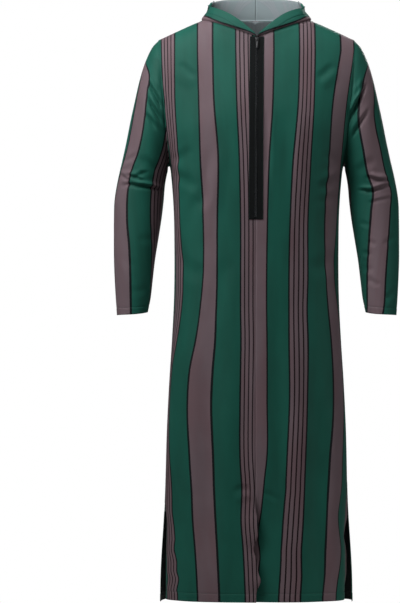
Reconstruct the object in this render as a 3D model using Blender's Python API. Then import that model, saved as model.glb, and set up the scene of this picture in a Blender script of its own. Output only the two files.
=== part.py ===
# Hooded djellaba robe in its worn form: thin cloth walls, a closed front zip and its hinged pull tab.
# Metres, +Z up, the front towards -Y, the wearer's left towards +X.
# The origin is in the middle of the neck opening, level with the shoulder seams' upper ends.

import math

import bmesh
import bpy
import numpy as np
from mathutils import Matrix, Vector
from mathutils.bvhtree import BVHTree

# Driving dimensions
CLOTH = 0.0015              # wall of every cloth piece
SEAM_GAP = 0.0003           # between two pieces along a seam
HEM_DOWN = 1.400            # hem of the back, below the origin
FRONT_HEM_RISE = 0.011      # the front is that much shorter
ARMPIT_DOWN = 0.352         # lowest point of the armholes
ROUNDNESS = 2.35            # exponent of the body's cross-sections, 2 is an ellipse
NECK_HALF_WIDTH = 0.131
NECK_FRONT = 0.074          # depth of the neckline in front of the origin
NECK_BACK = 0.080
NECK_TIP_DOWN = 0.044       # front tip of the neckline
NECK_NAPE_RISE = 0.004
SHOULDER_SEAM_Y = 0.003

VENT_TOP_DOWN = 1.124       # front vent, from here to the hem
VENT_SPREAD = 0.160         # the length in which its edges part
VENT_REACH = 3.2            # the vent moves the cloth up to this fraction of a front, as 1 / VENT_REACH
VENT_LAP = 0.006            # how far the left edge runs under the right one
VENT_STEP = 0.011           # depth between the two edges
VENT_WAVE = 0.105           # length of the ripples in its edges
VENT_SWAY = 0.0045          # how far they swing to the sides on the right edge
VENT_SWAY_UNDER = 0.002     # and on the left one
VENT_BULGE = 0.003          # and towards the front
SLIT_TOP_DOWN = {-1: 1.180, 1: 1.110}   # side slits of the wearer's right and left
SLIT_OPEN = 0.014           # how far a slit's front edge is drawn in at the hem
SLIT_FORWARD = 0.006        # and pushed forward
SLIT_BACKWARD = 0.004       # how far its back edge stands back
SLIT_WAVE = 0.170           # length of the wave in the front edge
SLIT_SWAY = 0.003
SLIT_EDGE = 8               # power of the distance from the centre; only the outermost cloth moves

ZIP_TOP_DOWN = 0.047
ZIP_BOTTOM_DOWN = 0.482
TAPE_WIDTH = 0.0168         # one side of the zip
TAPE_THICK = 0.0010
TAPE_LIFT = 0.0006          # over the cloth beneath it
TAPE_ROWS = 26
TAPE_COLUMNS = 2
FACET_STEP = 0.008          # the tape bridges the cloth's facets this far up and down

SLIDER_WIDTH = 0.0090
SLIDER_LENGTH = 0.0125
SLIDER_THICK = 0.0022
SLIDER_TAPER = 0.72         # its lower end is narrower, where the joined coil leaves it
SLIDER_BEVEL = 0.0005
SLIDER_DOWN = 0.0535        # middle of the slider's bridge
BRIDGE_WIDTH = 0.0024
BRIDGE_LENGTH = 0.0072
BRIDGE_BAR = 0.0013
BRIDGE_CLEAR = 0.0022       # free height under the bridge
BRIDGE_FOOT = 0.0006        # how deep its legs stand in the plate
BRIDGE_CUT = (0.0008, 0.0006)   # cut corners of its outer face, along and across
PULL_LENGTH = 0.0240
PULL_WIDTH = 0.0062
PULL_THICK = 0.0012
PULL_ARM = 0.0014           # width of each arm beside the bridge
PULL_WINDOW = 0.0052        # from the hinge axis to the solid part of the tab
PULL_TAPER = 0.75           # width of the lower end as a share of the upper one
PULL_TOP_CUT = 0.0006       # cut corners of the upper end, the lower end and the window
PULL_FOOT_CUT = 0.0012
PULL_WINDOW_CUT = 0.0004

# Mesh density
COLUMNS = 9                 # across each front and each half of the back
LOWER_ROWS = 20             # hem to armpit
CENTRE_ROWS = 8             # armpit to neckline along the centre
NECK_ROWS = 8               # along each quarter of the neckline
UPPER_ROWS = CENTRE_ROWS + NECK_ROWS
HOOD_ROWS = 16


def table(columns, rows):
    return {name: np.array(values) for name, values in zip(columns, zip(*rows))}


# Cross-sections of the body below the armpits
BODY = table(
    ("down", "halfWidth", "front", "back"),
    (
        (0.352, 0.2080, 0.132, 0.128),
        (0.384, 0.2036, 0.132, 0.127),
        (0.433, 0.2000, 0.130, 0.123),
        (0.530, 0.1978, 0.127, 0.116),
        (0.674, 0.1988, 0.126, 0.116),
        (0.770, 0.2036, 0.128, 0.124),
        (0.866, 0.2098, 0.131, 0.132),
        (0.963, 0.2145, 0.134, 0.137),
        (1.156, 0.2193, 0.139, 0.142),
        (1.348, 0.2290, 0.146, 0.148),
        (1.400, 0.2297, 0.148, 0.150),
    ),
)

# Centre line above the armpits: how far the cloth stands in front of and behind the origin
CENTRE = {
    -1: table(("down", "depth"), ((0.044, 0.074), (0.090, 0.093), (0.140, 0.110), (0.210, 0.125),
                                  (0.280, 0.131), (0.352, 0.132))),
    1: table(("down", "depth"), ((-0.004, 0.080), (0.070, 0.104), (0.130, 0.121), (0.200, 0.130),
                                 (0.280, 0.131), (0.352, 0.128))),
}

# Rings of a sleeve from the armhole to the cuff: its outer and inner line from the front, and its depth
SLEEVE = table(
    ("outerX", "outerDown", "innerX", "innerDown", "middleY", "halfDepth"),
    (
        (0.2360, 0.0480, 0.2080, 0.3520, 0.000, 0.0700),
        (0.2530, 0.0685, 0.2108, 0.3570, 0.001, 0.0710),
        (0.2700, 0.1060, 0.2130, 0.3625, 0.002, 0.0720),
        (0.2825, 0.1480, 0.2148, 0.3680, 0.003, 0.0730),
        (0.2930, 0.1940, 0.2163, 0.3740, 0.004, 0.0740),
        (0.3035, 0.2420, 0.2176, 0.3805, 0.005, 0.0740),
        (0.3130, 0.2900, 0.2190, 0.3880, 0.006, 0.0730),
        (0.3230, 0.3360, 0.2203, 0.3970, 0.007, 0.0710),
        (0.3340, 0.3840, 0.2217, 0.4110, 0.007, 0.0690),
        (0.3420, 0.4326, 0.2240, 0.4400, 0.005, 0.0670),
        (0.3435, 0.4810, 0.2290, 0.4810, 0.001, 0.0650),
        (0.3435, 0.5290, 0.2365, 0.5290, -0.005, 0.0620),
        (0.3430, 0.5770, 0.2440, 0.5770, -0.012, 0.0580),
        (0.3410, 0.6254, 0.2495, 0.6254, -0.020, 0.0530),
        (0.3380, 0.6736, 0.2545, 0.6736, -0.028, 0.0470),
        (0.3350, 0.7098, 0.2615, 0.7098, -0.034, 0.0430),
    ),
)

# Hood lying down the back. At each turn around the neck, in degrees from the front, the cloth runs from the
# neckline over its roll, down the hang to the foot of the pouch, and up to the edge of the face opening.
HOOD = table(
    ("turn", "rollX", "rollY", "rollZ", "hangX", "hangY", "hangZ", "footX", "footY", "footZ",
     "edgeX", "edgeY", "edgeZ"),
    (
        (0, 0.0012, -0.0742, -0.0412, 0.0024, -0.0742, -0.0388, 0.0036, -0.0741, -0.0364,
         0.0048, -0.0740, -0.0340),
        (30, 0.0620, -0.0640, -0.0145, 0.0590, -0.0630, -0.0080, 0.0555, -0.0610, -0.0018,
         0.0520, -0.0580, 0.0040),
        (60, 0.1090, -0.0345, 0.0055, 0.1045, -0.0335, 0.0150, 0.1000, -0.0300, 0.0235,
         0.0955, -0.0260, 0.0310),
        (74, 0.1195, -0.0170, 0.0100, 0.1130, -0.0155, 0.0200, 0.1075, -0.0130, 0.0295,
         0.1035, -0.0100, 0.0370),
        (88, 0.1240, 0.0010, 0.0140, 0.1150, 0.0040, 0.0270, 0.1110, 0.0080, 0.0370,
         0.1130, 0.0120, 0.0430),
        (98, 0.1190, 0.0170, 0.0220, 0.1080, 0.0220, 0.0410, 0.1105, 0.0280, 0.0475,
         0.1190, 0.0340, 0.0380),
        (106, 0.1110, 0.0320, 0.0300, 0.1010, 0.0420, 0.0510, 0.1130, 0.0520, 0.0450,
         0.1270, 0.0610, 0.0180),
        (116, 0.1040, 0.0520, 0.0400, 0.1030, 0.0720, 0.0530, 0.1200, 0.0880, 0.0260,
         0.1340, 0.0970, -0.0040),
        (124, 0.0970, 0.0660, 0.0490, 0.1050, 0.0950, 0.0380, 0.1270, 0.1130, -0.0240,
         0.1400, 0.1230, -0.0260),
        (134, 0.0870, 0.0800, 0.0540, 0.1010, 0.1150, 0.0080, 0.1200, 0.1370, -0.1000,
         0.1280, 0.1490, -0.0360),
        (142, 0.0770, 0.0880, 0.0560, 0.0930, 0.1220, -0.0150, 0.1060, 0.1470, -0.1550,
         0.1070, 0.1640, -0.0300),
        (160, 0.0440, 0.0990, 0.0580, 0.0560, 0.1330, -0.0450, 0.0600, 0.1600, -0.2200,
         0.0580, 0.1830, -0.0380),
        (180, 0.0000, 0.1040, 0.0590, 0.0000, 0.1380, -0.0550, 0.0000, 0.1650, -0.2450,
         0.0000, 0.1910, -0.0420),
    ),
)

HOOD_CORNER_TURN = 84       # where the face opening turns back, and how each side's corner leans
HOOD_CORNER_REACH = 50
HOOD_CORNER_LEAN = {-1: (0.004, -0.006), 1: (0.005, -0.009)}

# Soft folds of the skirt: where around the body in degrees from the centre front towards the wearer's left,
# how wide, how high at the hem, and the level at which each begins
FOLDS = table(
    ("turn", "width", "height", "topDown"),
    (
        (-72, 16, 0.007, 0.80),
        (-38, 14, 0.006, 0.95),
        (-14, 10, 0.004, 1.05),
        (24, 12, 0.006, 0.95),
        (52, 15, 0.008, 0.80),
        (78, 12, -0.006, 1.00),
        (106, 14, 0.008, 0.85),
        (134, 13, -0.007, 0.90),
        (160, 15, 0.008, 0.75),
        (188, 14, -0.007, 0.85),
        (214, 15, 0.008, 0.80),
        (243, 14, 0.007, 0.90),
    ),
)

COLOURS = {
    "cloth": (0.030, 0.135, 0.098),
    "tape": (0.012, 0.016, 0.018),
    "metal": (0.050, 0.052, 0.055),
}


def smooth(xs, ys, x):
    # A cubic through the rows of a table, with x clamped to its ends.
    slopes = np.gradient(ys, xs)
    x = min(max(x, xs[0]), xs[-1])
    i = int(np.clip(np.searchsorted(xs, x) - 1, 0, len(xs) - 2))
    h = xs[i + 1] - xs[i]
    s = (x - xs[i]) / h
    start = (2 * s**3 - 3 * s**2 + 1) * ys[i] + (s**3 - 2 * s**2 + s) * h * slopes[i]
    end = (3 * s**2 - 2 * s**3) * ys[i + 1] + (s**3 - s**2) * h * slopes[i + 1]
    return start + end


def ease(value):
    value = min(max(value, 0.0), 1.0)
    return value * value * (3 - 2 * value)


def foldHeight(side, facing, u, down):
    turn = side * 90 * u if facing < 0 else (180 - side * 90 * u)
    total = 0.0
    for centre, width, height, top in zip(*FOLDS.values()):
        away = (turn - centre + 180) % 360 - 180
        total += height * math.exp(-(away / width) ** 2) * ease((down - top) / (HEM_DOWN - top))
    return total


def bodyPoint(side, facing, u, down):
    # A cross-section's quarter from the centre (u = 0) to the side (u = 1); facing is -1 for the front.
    width = smooth(BODY["down"], BODY["halfWidth"], down)
    depth = smooth(BODY["down"], BODY["front" if facing < 0 else "back"], down)
    power = 2 / ROUNDNESS
    angle = u * math.pi / 2
    x = side * width * math.sin(angle) ** power
    y = facing * depth * max(math.cos(angle), 0.0) ** power
    out = Vector((x / width**2, y / depth**2, 0)).normalized() * foldHeight(side, facing, u, down)
    return np.array((x + out.x * min(1, 4 * u), y + out.y, -down))


def openEdges(point, side, facing, u, down):
    # The lapped front vent and the side slits, below the points where their seams end.
    x, y, z = point
    slit = ease((down - SLIT_TOP_DOWN[side]) / (HEM_DOWN - SLIT_TOP_DOWN[side]))
    vent = ease((down - VENT_TOP_DOWN) / VENT_SPREAD)
    edge = u**SLIT_EDGE
    if facing < 0:
        near = max(0.0, 1 - u * VENT_REACH) ** 2
        ripple = math.sin((down - VENT_TOP_DOWN) * math.tau / VENT_WAVE)
        if side < 0:
            x += vent**2 * near * VENT_SWAY * ripple
            y -= vent * near * (VENT_STEP * 0.5 + VENT_BULGE * ripple)
        else:
            x -= vent**2 * near * (VENT_LAP - VENT_SWAY_UNDER * ripple)
            y += vent * near * VENT_STEP
        wave = math.sin((down - SLIT_TOP_DOWN[side]) * math.tau / SLIT_WAVE)
        x -= side * slit * edge * (SLIT_OPEN + SLIT_SWAY * wave)
        y -= slit * edge * (SLIT_FORWARD + SLIT_SWAY * wave)
        z += slit * FRONT_HEM_RISE
        z += vent * (1 - u) * FRONT_HEM_RISE * (1 - slit)
    else:
        y += slit * edge * SLIT_BACKWARD
    return np.array((x, y, z))


def sleeveRing(side, at, angle):
    # A ring of the sleeve at a row number of its table; angle 0 is underneath, 90 degrees at the front.
    rows = np.arange(len(SLEEVE["outerX"]), dtype=float)
    row = {name: smooth(rows, values, at) for name, values in SLEEVE.items()}
    low = np.array((row["innerX"], row["middleY"], -row["innerDown"]))
    high = np.array((row["outerX"], row["middleY"], -row["outerDown"]))
    middle = (low + high) / 2
    forward = np.array((0, row["halfDepth"], 0))
    point = middle + (low - high) / 2 * math.cos(angle) - forward * math.sin(angle)
    return point * np.array((side, 1, 1))


def neckPoint(side, facing, angle):
    # The neckline's quarter from the centre (angle 0) to the shoulder seam (90 degrees).
    x = side * NECK_HALF_WIDTH * math.sin(angle)
    depth = NECK_FRONT if facing < 0 else NECK_BACK
    y = facing * depth * math.cos(angle) + SHOULDER_SEAM_Y * math.sin(angle)
    if facing < 0:
        return np.array((x, y, -NECK_TIP_DOWN * (1 - math.sin(angle)) ** 1.1))
    return np.array((x, y, NECK_NAPE_RISE * math.cos(angle)))


def centreEdge(side, facing, v):
    # Up the centre line from the armpits' height, then along the neckline to the shoulder seam.
    share = CENTRE_ROWS / UPPER_ROWS
    if v > share:
        return neckPoint(side, facing, (v - share) / (1 - share) * math.pi / 2)
    top = NECK_TIP_DOWN if facing < 0 else -NECK_NAPE_RISE
    down = ARMPIT_DOWN + (top - ARMPIT_DOWN) * v / share
    return np.array((0, facing * smooth(CENTRE[facing]["down"], CENTRE[facing]["depth"], down), -down))


def armholeEdge(side, facing, v):
    return sleeveRing(side, 0, -facing * math.pi * v)


def upperPoint(side, facing, u, v):
    # A patch between the armpits' section, the shoulder seam, the centre edge and the armhole.
    low = bodyPoint(side, facing, u, ARMPIT_DOWN)
    neck, shoulder = neckPoint(side, facing, math.pi / 2), armholeEdge(side, facing, 1)
    high = neck + (shoulder - neck) * u
    centre, arm = centreEdge(side, facing, v), armholeEdge(side, facing, v)
    corners = ((1 - u) * (1 - v) * bodyPoint(side, facing, 0, ARMPIT_DOWN) + u * v * shoulder
               + u * (1 - v) * bodyPoint(side, facing, 1, ARMPIT_DOWN) + (1 - u) * v * neck)
    return (1 - v) * low + v * high + (1 - u) * centre + u * arm - corners


def bodyGrid(side, facing):
    # A front or half of the back, first with its vent and slit closed and then open.
    downs = [HEM_DOWN + (ARMPIT_DOWN - HEM_DOWN) * r / LOWER_ROWS for r in range(LOWER_ROWS + 1)]
    rows = [[bodyPoint(side, facing, c / COLUMNS, down) for c in range(COLUMNS + 1)] for down in downs]
    for r in range(1, UPPER_ROWS + 1):
        rows.append([upperPoint(side, facing, c / COLUMNS, r / UPPER_ROWS) for c in range(COLUMNS + 1)])
    grid = np.array(rows)
    for _ in range(3):      # evens out the change from sections to patch
        inner = (grid[:-2, 1:-1] + grid[2:, 1:-1]) / 2
        blend = np.zeros(len(grid) - 2)
        blend[LOWER_ROWS - 4:LOWER_ROWS + 3] = 0.5
        grid[1:-1, 1:-1] += (inner - grid[1:-1, 1:-1]) * blend[:, None, None]
    opened = grid.copy()
    for r, down in enumerate(downs):
        for c in range(COLUMNS + 1):
            opened[r, c] = openEdges(grid[r, c], side, facing, c / COLUMNS, down)
    return grid, opened


def sleeveGrid(side):
    rings = len(SLEEVE["outerX"])
    around = 2 * UPPER_ROWS
    return np.array([[sleeveRing(side, r, math.tau * c / around) for c in range(around + 1)]
                     for r in range(rings)])


def hoodGrid(side):
    grid = []
    for c in range(2 * NECK_ROWS + 1):
        turn = 180 * c / (2 * NECK_ROWS)
        facing = -1 if turn <= 90 else 1
        neck = neckPoint(side, facing, math.radians(turn if facing < 0 else 180 - turn))
        row = {name: smooth(HOOD["turn"], values, turn) for name, values in HOOD.items()}
        stations = [neck] + [np.array((side * row[k + "X"], row[k + "Y"], row[k + "Z"]))
                             for k in ("roll", "hang", "foot", "edge")]
        lean = ease(1 - abs(turn - HOOD_CORNER_TURN) / HOOD_CORNER_REACH)
        stations = np.array(stations)
        knots = np.linspace(0, 1, len(stations))
        stations[:, 0] += side * lean * HOOD_CORNER_LEAN[side][0] * knots
        stations[:, 2] += lean * HOOD_CORNER_LEAN[side][1] * knots
        grid.append([[smooth(knots, stations[:, axis], r / HOOD_ROWS) for axis in range(3)]
                     for r in range(HOOD_ROWS + 1)])
        grid[-1][0] = list(neck)
    return np.array(grid)


def key(point):
    return tuple(np.round(point, 6) + 0.0)


class Sheet:
    # One cloth piece as an open surface: its points, its outward quads, and where its edges run.
    # Neighbours find each other by the places where their edges meet when every seam is closed.
    def __init__(self, name):
        self.name = name
        self.index = {}
        self.points = []
        self.quads = []

    def add(self, closed, flip, opened=None):
        if opened is None:
            opened = closed
        ids = [[self.point(p, q) for p, q in zip(*rows)] for rows in zip(closed, opened)]
        for r in range(len(ids) - 1):
            for c in range(len(ids[0]) - 1):
                quad = [ids[r][c], ids[r][c + 1], ids[r + 1][c + 1], ids[r + 1][c]]
                self.quads.append(quad[::-1] if flip else quad)

    def point(self, closed, opened):
        k = key(closed)
        if k not in self.index:
            self.index[k] = len(self.points)
            self.points.append(np.array(opened))
        return self.index[k]

    def normals(self):
        # Summed at each point over the quads around it, each as much as its corner is wide.
        total = np.zeros((len(self.points), 3))
        for quad in self.quads:
            for before, here, after in zip(quad[-1:] + quad[:-1], quad, quad[1:] + quad[:1]):
                ahead = self.points[after] - self.points[here]
                behind = self.points[before] - self.points[here]
                across = np.cross(ahead, behind)
                area = np.linalg.norm(across)
                total[here] += across / area * math.atan2(area, ahead.dot(behind))
        return total

    def edges(self):
        # Each boundary edge with the direction into its face.
        count = {}
        for quad in self.quads:
            for a, b in zip(quad, quad[1:] + quad[:1]):
                count.setdefault((min(a, b), max(a, b)), []).append(quad)
        found = []
        for (a, b), quads in count.items():
            if len(quads) == 1:
                along = self.points[b] - self.points[a]
                along /= np.linalg.norm(along)
                inward = np.mean([self.points[i] for i in quads[0]], axis=0) - self.points[a]
                inward -= along * inward.dot(along)
                found.append((a, b, inward / np.linalg.norm(inward)))
        return found


def material(name, colour, roughness, metallic):
    made = bpy.data.materials.new(name)
    made.use_nodes = True
    shader = made.node_tree.nodes["Principled BSDF"]
    shader.inputs["Base Color"].default_value = (*colour, 1)
    shader.inputs["Roughness"].default_value = roughness
    shader.inputs["Metallic"].default_value = metallic
    return made


def objectFrom(bm, name, finish):
    bmesh.ops.triangulate(bm, faces=bm.faces)
    bmesh.ops.recalc_face_normals(bm, faces=bm.faces)
    mesh = bpy.data.meshes.new(name)
    bm.to_mesh(mesh)
    bm.free()
    mesh.materials.append(finish)
    made = bpy.data.objects.new(name, mesh)
    bpy.context.collection.objects.link(made)
    return made


def wall(sheet, sheets, finish, thickness):
    # Gives a sheet its thickness inwards, mitred to its neighbours and parted from them along the seams.
    shared = np.zeros((len(sheet.points), 3))
    owners = np.zeros(len(sheet.points), dtype=int)
    for other in sheets:
        normals = other.normals()
        for k, i in sheet.index.items():
            if k in other.index:
                shared[i] += normals[other.index[k]]
                owners[i] += 1
    shared /= np.linalg.norm(shared, axis=1)[:, None]
    own = sheet.normals()
    own /= np.linalg.norm(own, axis=1)[:, None]
    mitre = 1 / np.clip((shared * own).sum(axis=1), 0.6, 1)
    free = owners == 1
    for _ in range(6):      # evens out the wall's direction where the cloth turns sharply
        total = shared.copy()
        for quad in sheet.quads:
            total[quad] += shared[quad].mean(axis=0) / 2
        total /= np.linalg.norm(total, axis=1)[:, None]
        shared[free] = total[free]
    outer = np.array(sheet.points)
    inner = outer - shared * (thickness * mitre)[:, None]
    pulls = {}
    for a, b, inward in sheet.edges():
        for i in (a, b):
            pulls.setdefault(i, []).append(inward)
    for i, (first, second) in pulls.items():
        if owners[i] > 1:
            shift = SEAM_GAP / 2 * (first + second) / (1 + first.dot(second))
            outer[i] += shift
            inner[i] += shift
    bm = bmesh.new()
    tops = [bm.verts.new(p) for p in outer]
    lows = [bm.verts.new(p) for p in inner]
    for a, b, c, d in sheet.quads:      # both faces are split along the same diagonal, the shorter one
        short = np.linalg.norm(outer[a] - outer[c]) < np.linalg.norm(outer[b] - outer[d])
        for corners in ((a, b, c), (a, c, d)) if short else ((a, b, d), (b, c, d)):
            bm.faces.new([tops[i] for i in corners])
            bm.faces.new([lows[i] for i in reversed(corners)])
    for a, b, _ in sheet.edges():
        bm.faces.new([tops[a], tops[b], lows[b], lows[a]])
    return objectFrom(bm, sheet.name, finish)


def surfaceTree(pieces):
    points, triangles = [], []
    for piece in pieces:
        start = len(points)
        points += [v.co.copy() for v in piece.data.vertices]
        triangles += [[start + i for i in face.vertices] for face in piece.data.polygons]
    return BVHTree.FromPolygons(points, triangles)


def frontAt(tree, x, down):
    # The foremost cloth just above, at and below a place, so that a tape bridges the facets' edges.
    casts = [tree.ray_cast(Vector((x, -1, -down - step)), Vector((0, 1, 0)))[:2]
             for step in (0, FACET_STEP, -FACET_STEP)]
    depth = min(point.y + normal.z / normal.y * (point.z + down) for point, normal in casts if point)
    normal = casts[0][1]
    return depth, (normal if normal.y < 0 else -normal)


def zipTape(side, tree, finish):
    # Lies over the edge of a front, from just beside the coil to the stitching.
    rows, across = TAPE_ROWS, TAPE_COLUMNS
    bm = bmesh.new()
    layers = []
    for lift in (TAPE_LIFT, TAPE_LIFT + TAPE_THICK):
        grid = []
        for r in range(rows + 1):
            down = ZIP_TOP_DOWN + (ZIP_BOTTOM_DOWN - ZIP_TOP_DOWN) * r / rows
            line = []
            for c in range(across + 1):
                x = side * (SEAM_GAP / 2 + TAPE_WIDTH * c / across)
                depth, normal = frontAt(tree, side * max(abs(x), 4 * SEAM_GAP), down)
                line.append(bm.verts.new((x, depth + lift / normal.y, -down)))
            grid.append(line)
        layers.append(grid)
    low, top = layers
    for r in range(rows):
        for c in range(across):
            bm.faces.new((top[r][c], top[r][c + 1], top[r + 1][c + 1], top[r + 1][c]))
            bm.faces.new((low[r][c], low[r + 1][c], low[r + 1][c + 1], low[r][c + 1]))
        for c in (0, across):
            bm.faces.new((top[r][c], top[r + 1][c], low[r + 1][c], low[r][c]))
    for c in range(across):
        for r in (0, rows):
            bm.faces.new((top[r][c], top[r][c + 1], low[r][c + 1], low[r][c]))
    return objectFrom(bm, f"zip_tape_{'right' if side < 0 else 'left'}", finish)


def box(bm, low, high):
    made = bmesh.ops.create_cube(bm, size=1)["verts"]
    low, high = Vector(low), Vector(high)
    size = high - low
    bmesh.ops.scale(bm, vec=size, verts=made)
    bmesh.ops.translate(bm, vec=(low + high) / 2, verts=made)
    return made


def rimmed(outline, hole, low, high):
    # An upright plate between two depths, with an outline of points (x, z) and a window of as many points.
    bm = bmesh.new()
    loops = [[bm.verts.new((x, y, z)) for x, z in points]
             for y in (low, high) for points in (outline, hole)]
    outerLow, innerLow, outerHigh, innerHigh = loops
    count = len(outline)
    for i in range(count):
        j = (i + 1) % count
        bm.faces.new((outerLow[i], outerLow[j], innerLow[j], innerLow[i]))
        bm.faces.new((outerHigh[i], innerHigh[i], innerHigh[j], outerHigh[j]))
        bm.faces.new((outerLow[i], outerHigh[i], outerHigh[j], outerLow[j]))
        bm.faces.new((innerLow[i], innerLow[j], innerHigh[j], innerHigh[i]))
    return bm


def zipSlider(finish):
    # A plate over the coil, with a bridge that the pull tab's cross-bar lies under. Its own origin is on
    # the hinge axis, and it faces -Y.
    back = BRIDGE_CLEAR / 2
    half = BRIDGE_LENGTH / 2
    bm = bmesh.new()
    plate = box(bm, (-SLIDER_WIDTH / 2, back, -SLIDER_LENGTH / 2), (SLIDER_WIDTH / 2, back + SLIDER_THICK,
                                                                    SLIDER_LENGTH / 2))
    for v in plate:
        if v.co.z < 0:
            v.co.x *= SLIDER_TAPER
    bmesh.ops.bevel(bm, geom=bm.edges[:], offset=SLIDER_BEVEL, segments=1, profile=0.5, affect="EDGES",
                    material=-1)
    slider = objectFrom(bm, "zip_slider", finish)
    top = -BRIDGE_CLEAR - BRIDGE_BAR
    along, across = BRIDGE_CUT
    arch = half - BRIDGE_BAR
    profile = [(-half, BRIDGE_FOOT), (-half, top + across), (-half + along, top), (half - along, top),
               (half, top + across), (half, BRIDGE_FOOT), (arch, BRIDGE_FOOT), (arch, -BRIDGE_CLEAR),
               (-arch, -BRIDGE_CLEAR), (-arch, BRIDGE_FOOT)]
    bm = bmesh.new()
    ends = [[bm.verts.new((x, back + y, z)) for z, y in profile]
            for x in (-BRIDGE_WIDTH / 2, BRIDGE_WIDTH / 2)]
    bm.faces.new(ends[0])
    bm.faces.new(ends[1][::-1])
    for i in range(len(profile)):
        j = (i + 1) % len(profile)
        bm.faces.new((ends[0][i], ends[0][j], ends[1][j], ends[1][i]))
    bridge = objectFrom(bm, "bridge_cutter", finish)
    bridge.hide_render = True
    bridge.display_type = "WIRE"
    union = slider.modifiers.new("Bridge", "BOOLEAN")
    union.operation = "UNION"
    union.solver = "MANIFOLD"       # the exact solver drops these small closed solids
    union.object = bridge
    return slider, bridge


def zipPull(finish):
    # A flat tab with a window around the bridge; the window's top bar is on the hinge axis.
    bar = PULL_THICK / 2
    half = PULL_WIDTH / 2
    foot = half * PULL_TAPER
    outline = [(-half + PULL_TOP_CUT, bar), (half - PULL_TOP_CUT, bar), (half, bar - PULL_TOP_CUT),
               (foot, -PULL_LENGTH + PULL_FOOT_CUT), (foot - PULL_FOOT_CUT, -PULL_LENGTH),
               (-foot + PULL_FOOT_CUT, -PULL_LENGTH), (-foot, -PULL_LENGTH + PULL_FOOT_CUT),
               (-half, bar - PULL_TOP_CUT)]
    inside = half - PULL_ARM
    cut = PULL_WINDOW_CUT
    hole = [(-inside, -bar), (inside, -bar), (inside, -bar - cut), (inside, -PULL_WINDOW + cut),
            (inside - cut, -PULL_WINDOW), (-inside + cut, -PULL_WINDOW), (-inside, -PULL_WINDOW + cut),
            (-inside, -bar - cut)]
    return objectFrom(rimmed(outline, hole, -PULL_THICK / 2, PULL_THICK / 2), "zip_pull", finish)


for old in list(bpy.data.objects):
    bpy.data.objects.remove(old, do_unlink=True)

sides = {-1: "right", 1: "left"}
cloth = []
for side, word in sides.items():
    front = Sheet(f"front_{word}")
    closed, opened = bodyGrid(side, -1)
    front.add(closed, side < 0, opened)
    sleeve = Sheet(f"sleeve_{word}")
    sleeve.add(sleeveGrid(side), side > 0)
    hood = Sheet(f"hood_{word}")
    hood.add(hoodGrid(side), side > 0)
    cloth += [front, sleeve, hood]
back = Sheet("back")
for side in sides:
    closed, opened = bodyGrid(side, 1)
    back.add(closed, side > 0, opened)
cloth.append(back)

walls = {sheet.name: wall(sheet, cloth, material(f"{sheet.name}_cloth", COLOURS["cloth"], 0.75, 0.0), CLOTH)
         for sheet in cloth}

tree = surfaceTree([walls["front_right"], walls["front_left"]])
for side in sides:
    zipTape(side, tree, material(f"zip_tape_{sides[side]}_weave", COLOURS["tape"], 0.85, 0.0))

depth, slope = frontAt(tree, 4 * SEAM_GAP, SLIDER_DOWN)
slope.x = 0
slope.normalize()
lift = TAPE_LIFT + TAPE_THICK + SEAM_GAP + SLIDER_THICK + BRIDGE_CLEAR / 2
place = Matrix.Translation(Vector((0, depth, -SLIDER_DOWN)) + slope * lift)
place = place @ Matrix.Rotation(math.atan2(-slope.z, -slope.y), 4, "X")
slider, bridge = zipSlider(material("zip_slider_metal", COLOURS["metal"], 0.35, 1.0))
pull = zipPull(material("zip_pull_metal", COLOURS["metal"], 0.35, 1.0))
for piece in (slider, bridge, pull):
    piece.matrix_world = place
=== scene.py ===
import math

import bmesh
import bpy
import numpy as np
from mathutils import Matrix, Vector
from mathutils.bvhtree import BVHTree


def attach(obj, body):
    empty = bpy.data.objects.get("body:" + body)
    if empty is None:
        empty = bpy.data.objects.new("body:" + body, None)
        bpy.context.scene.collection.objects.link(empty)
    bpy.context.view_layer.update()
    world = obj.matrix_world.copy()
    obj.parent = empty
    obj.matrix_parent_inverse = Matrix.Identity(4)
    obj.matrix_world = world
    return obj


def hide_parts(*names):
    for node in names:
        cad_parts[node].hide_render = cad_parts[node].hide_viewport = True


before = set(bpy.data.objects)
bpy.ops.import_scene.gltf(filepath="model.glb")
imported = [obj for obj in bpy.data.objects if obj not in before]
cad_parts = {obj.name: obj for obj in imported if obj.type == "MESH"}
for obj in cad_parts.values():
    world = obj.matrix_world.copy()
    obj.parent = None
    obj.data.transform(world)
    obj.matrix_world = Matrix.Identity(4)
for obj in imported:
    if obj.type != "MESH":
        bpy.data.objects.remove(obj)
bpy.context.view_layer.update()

# Metres, +Z up, the front towards -Y, the wearer's left towards +X. Side -1 is the wearer's right, and
# facing -1 is the front. The origin is in the middle of the neck opening.
sides = {-1: "right", 1: "left"}

robe = {
    "hemDown": 1.400,           # hem of the back, below the origin
    "frontHemRise": 0.011,
    "armpitDown": 0.352,
    "roundness": 2.35,          # exponent of the body's cross-sections
    "foldSpread": 4,            # a fold moves sideways in full from a quarter of the way to the side
    "neckHalfWidth": 0.131,
    "neckFront": 0.074,
    "neckBack": 0.080,
    "neckTipDown": 0.044,
    "neckTipBend": 1.1,
    "napeRise": 0.004,
    "shoulderSeamY": 0.003,
    "sleeveLength": 0.62,
    "cuffTilt": 0.007,          # the inner side of a cuff hangs that much higher
    "cuffSag": 0.003,
    "cuffReach": 0.09,          # how far up the sleeve both fade out
    "driftReach": 0.09,         # how far from the centre line the fronts drift with it
    "wall": 0.0010,             # printed polyester with its turnings, as a shell
}

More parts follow.
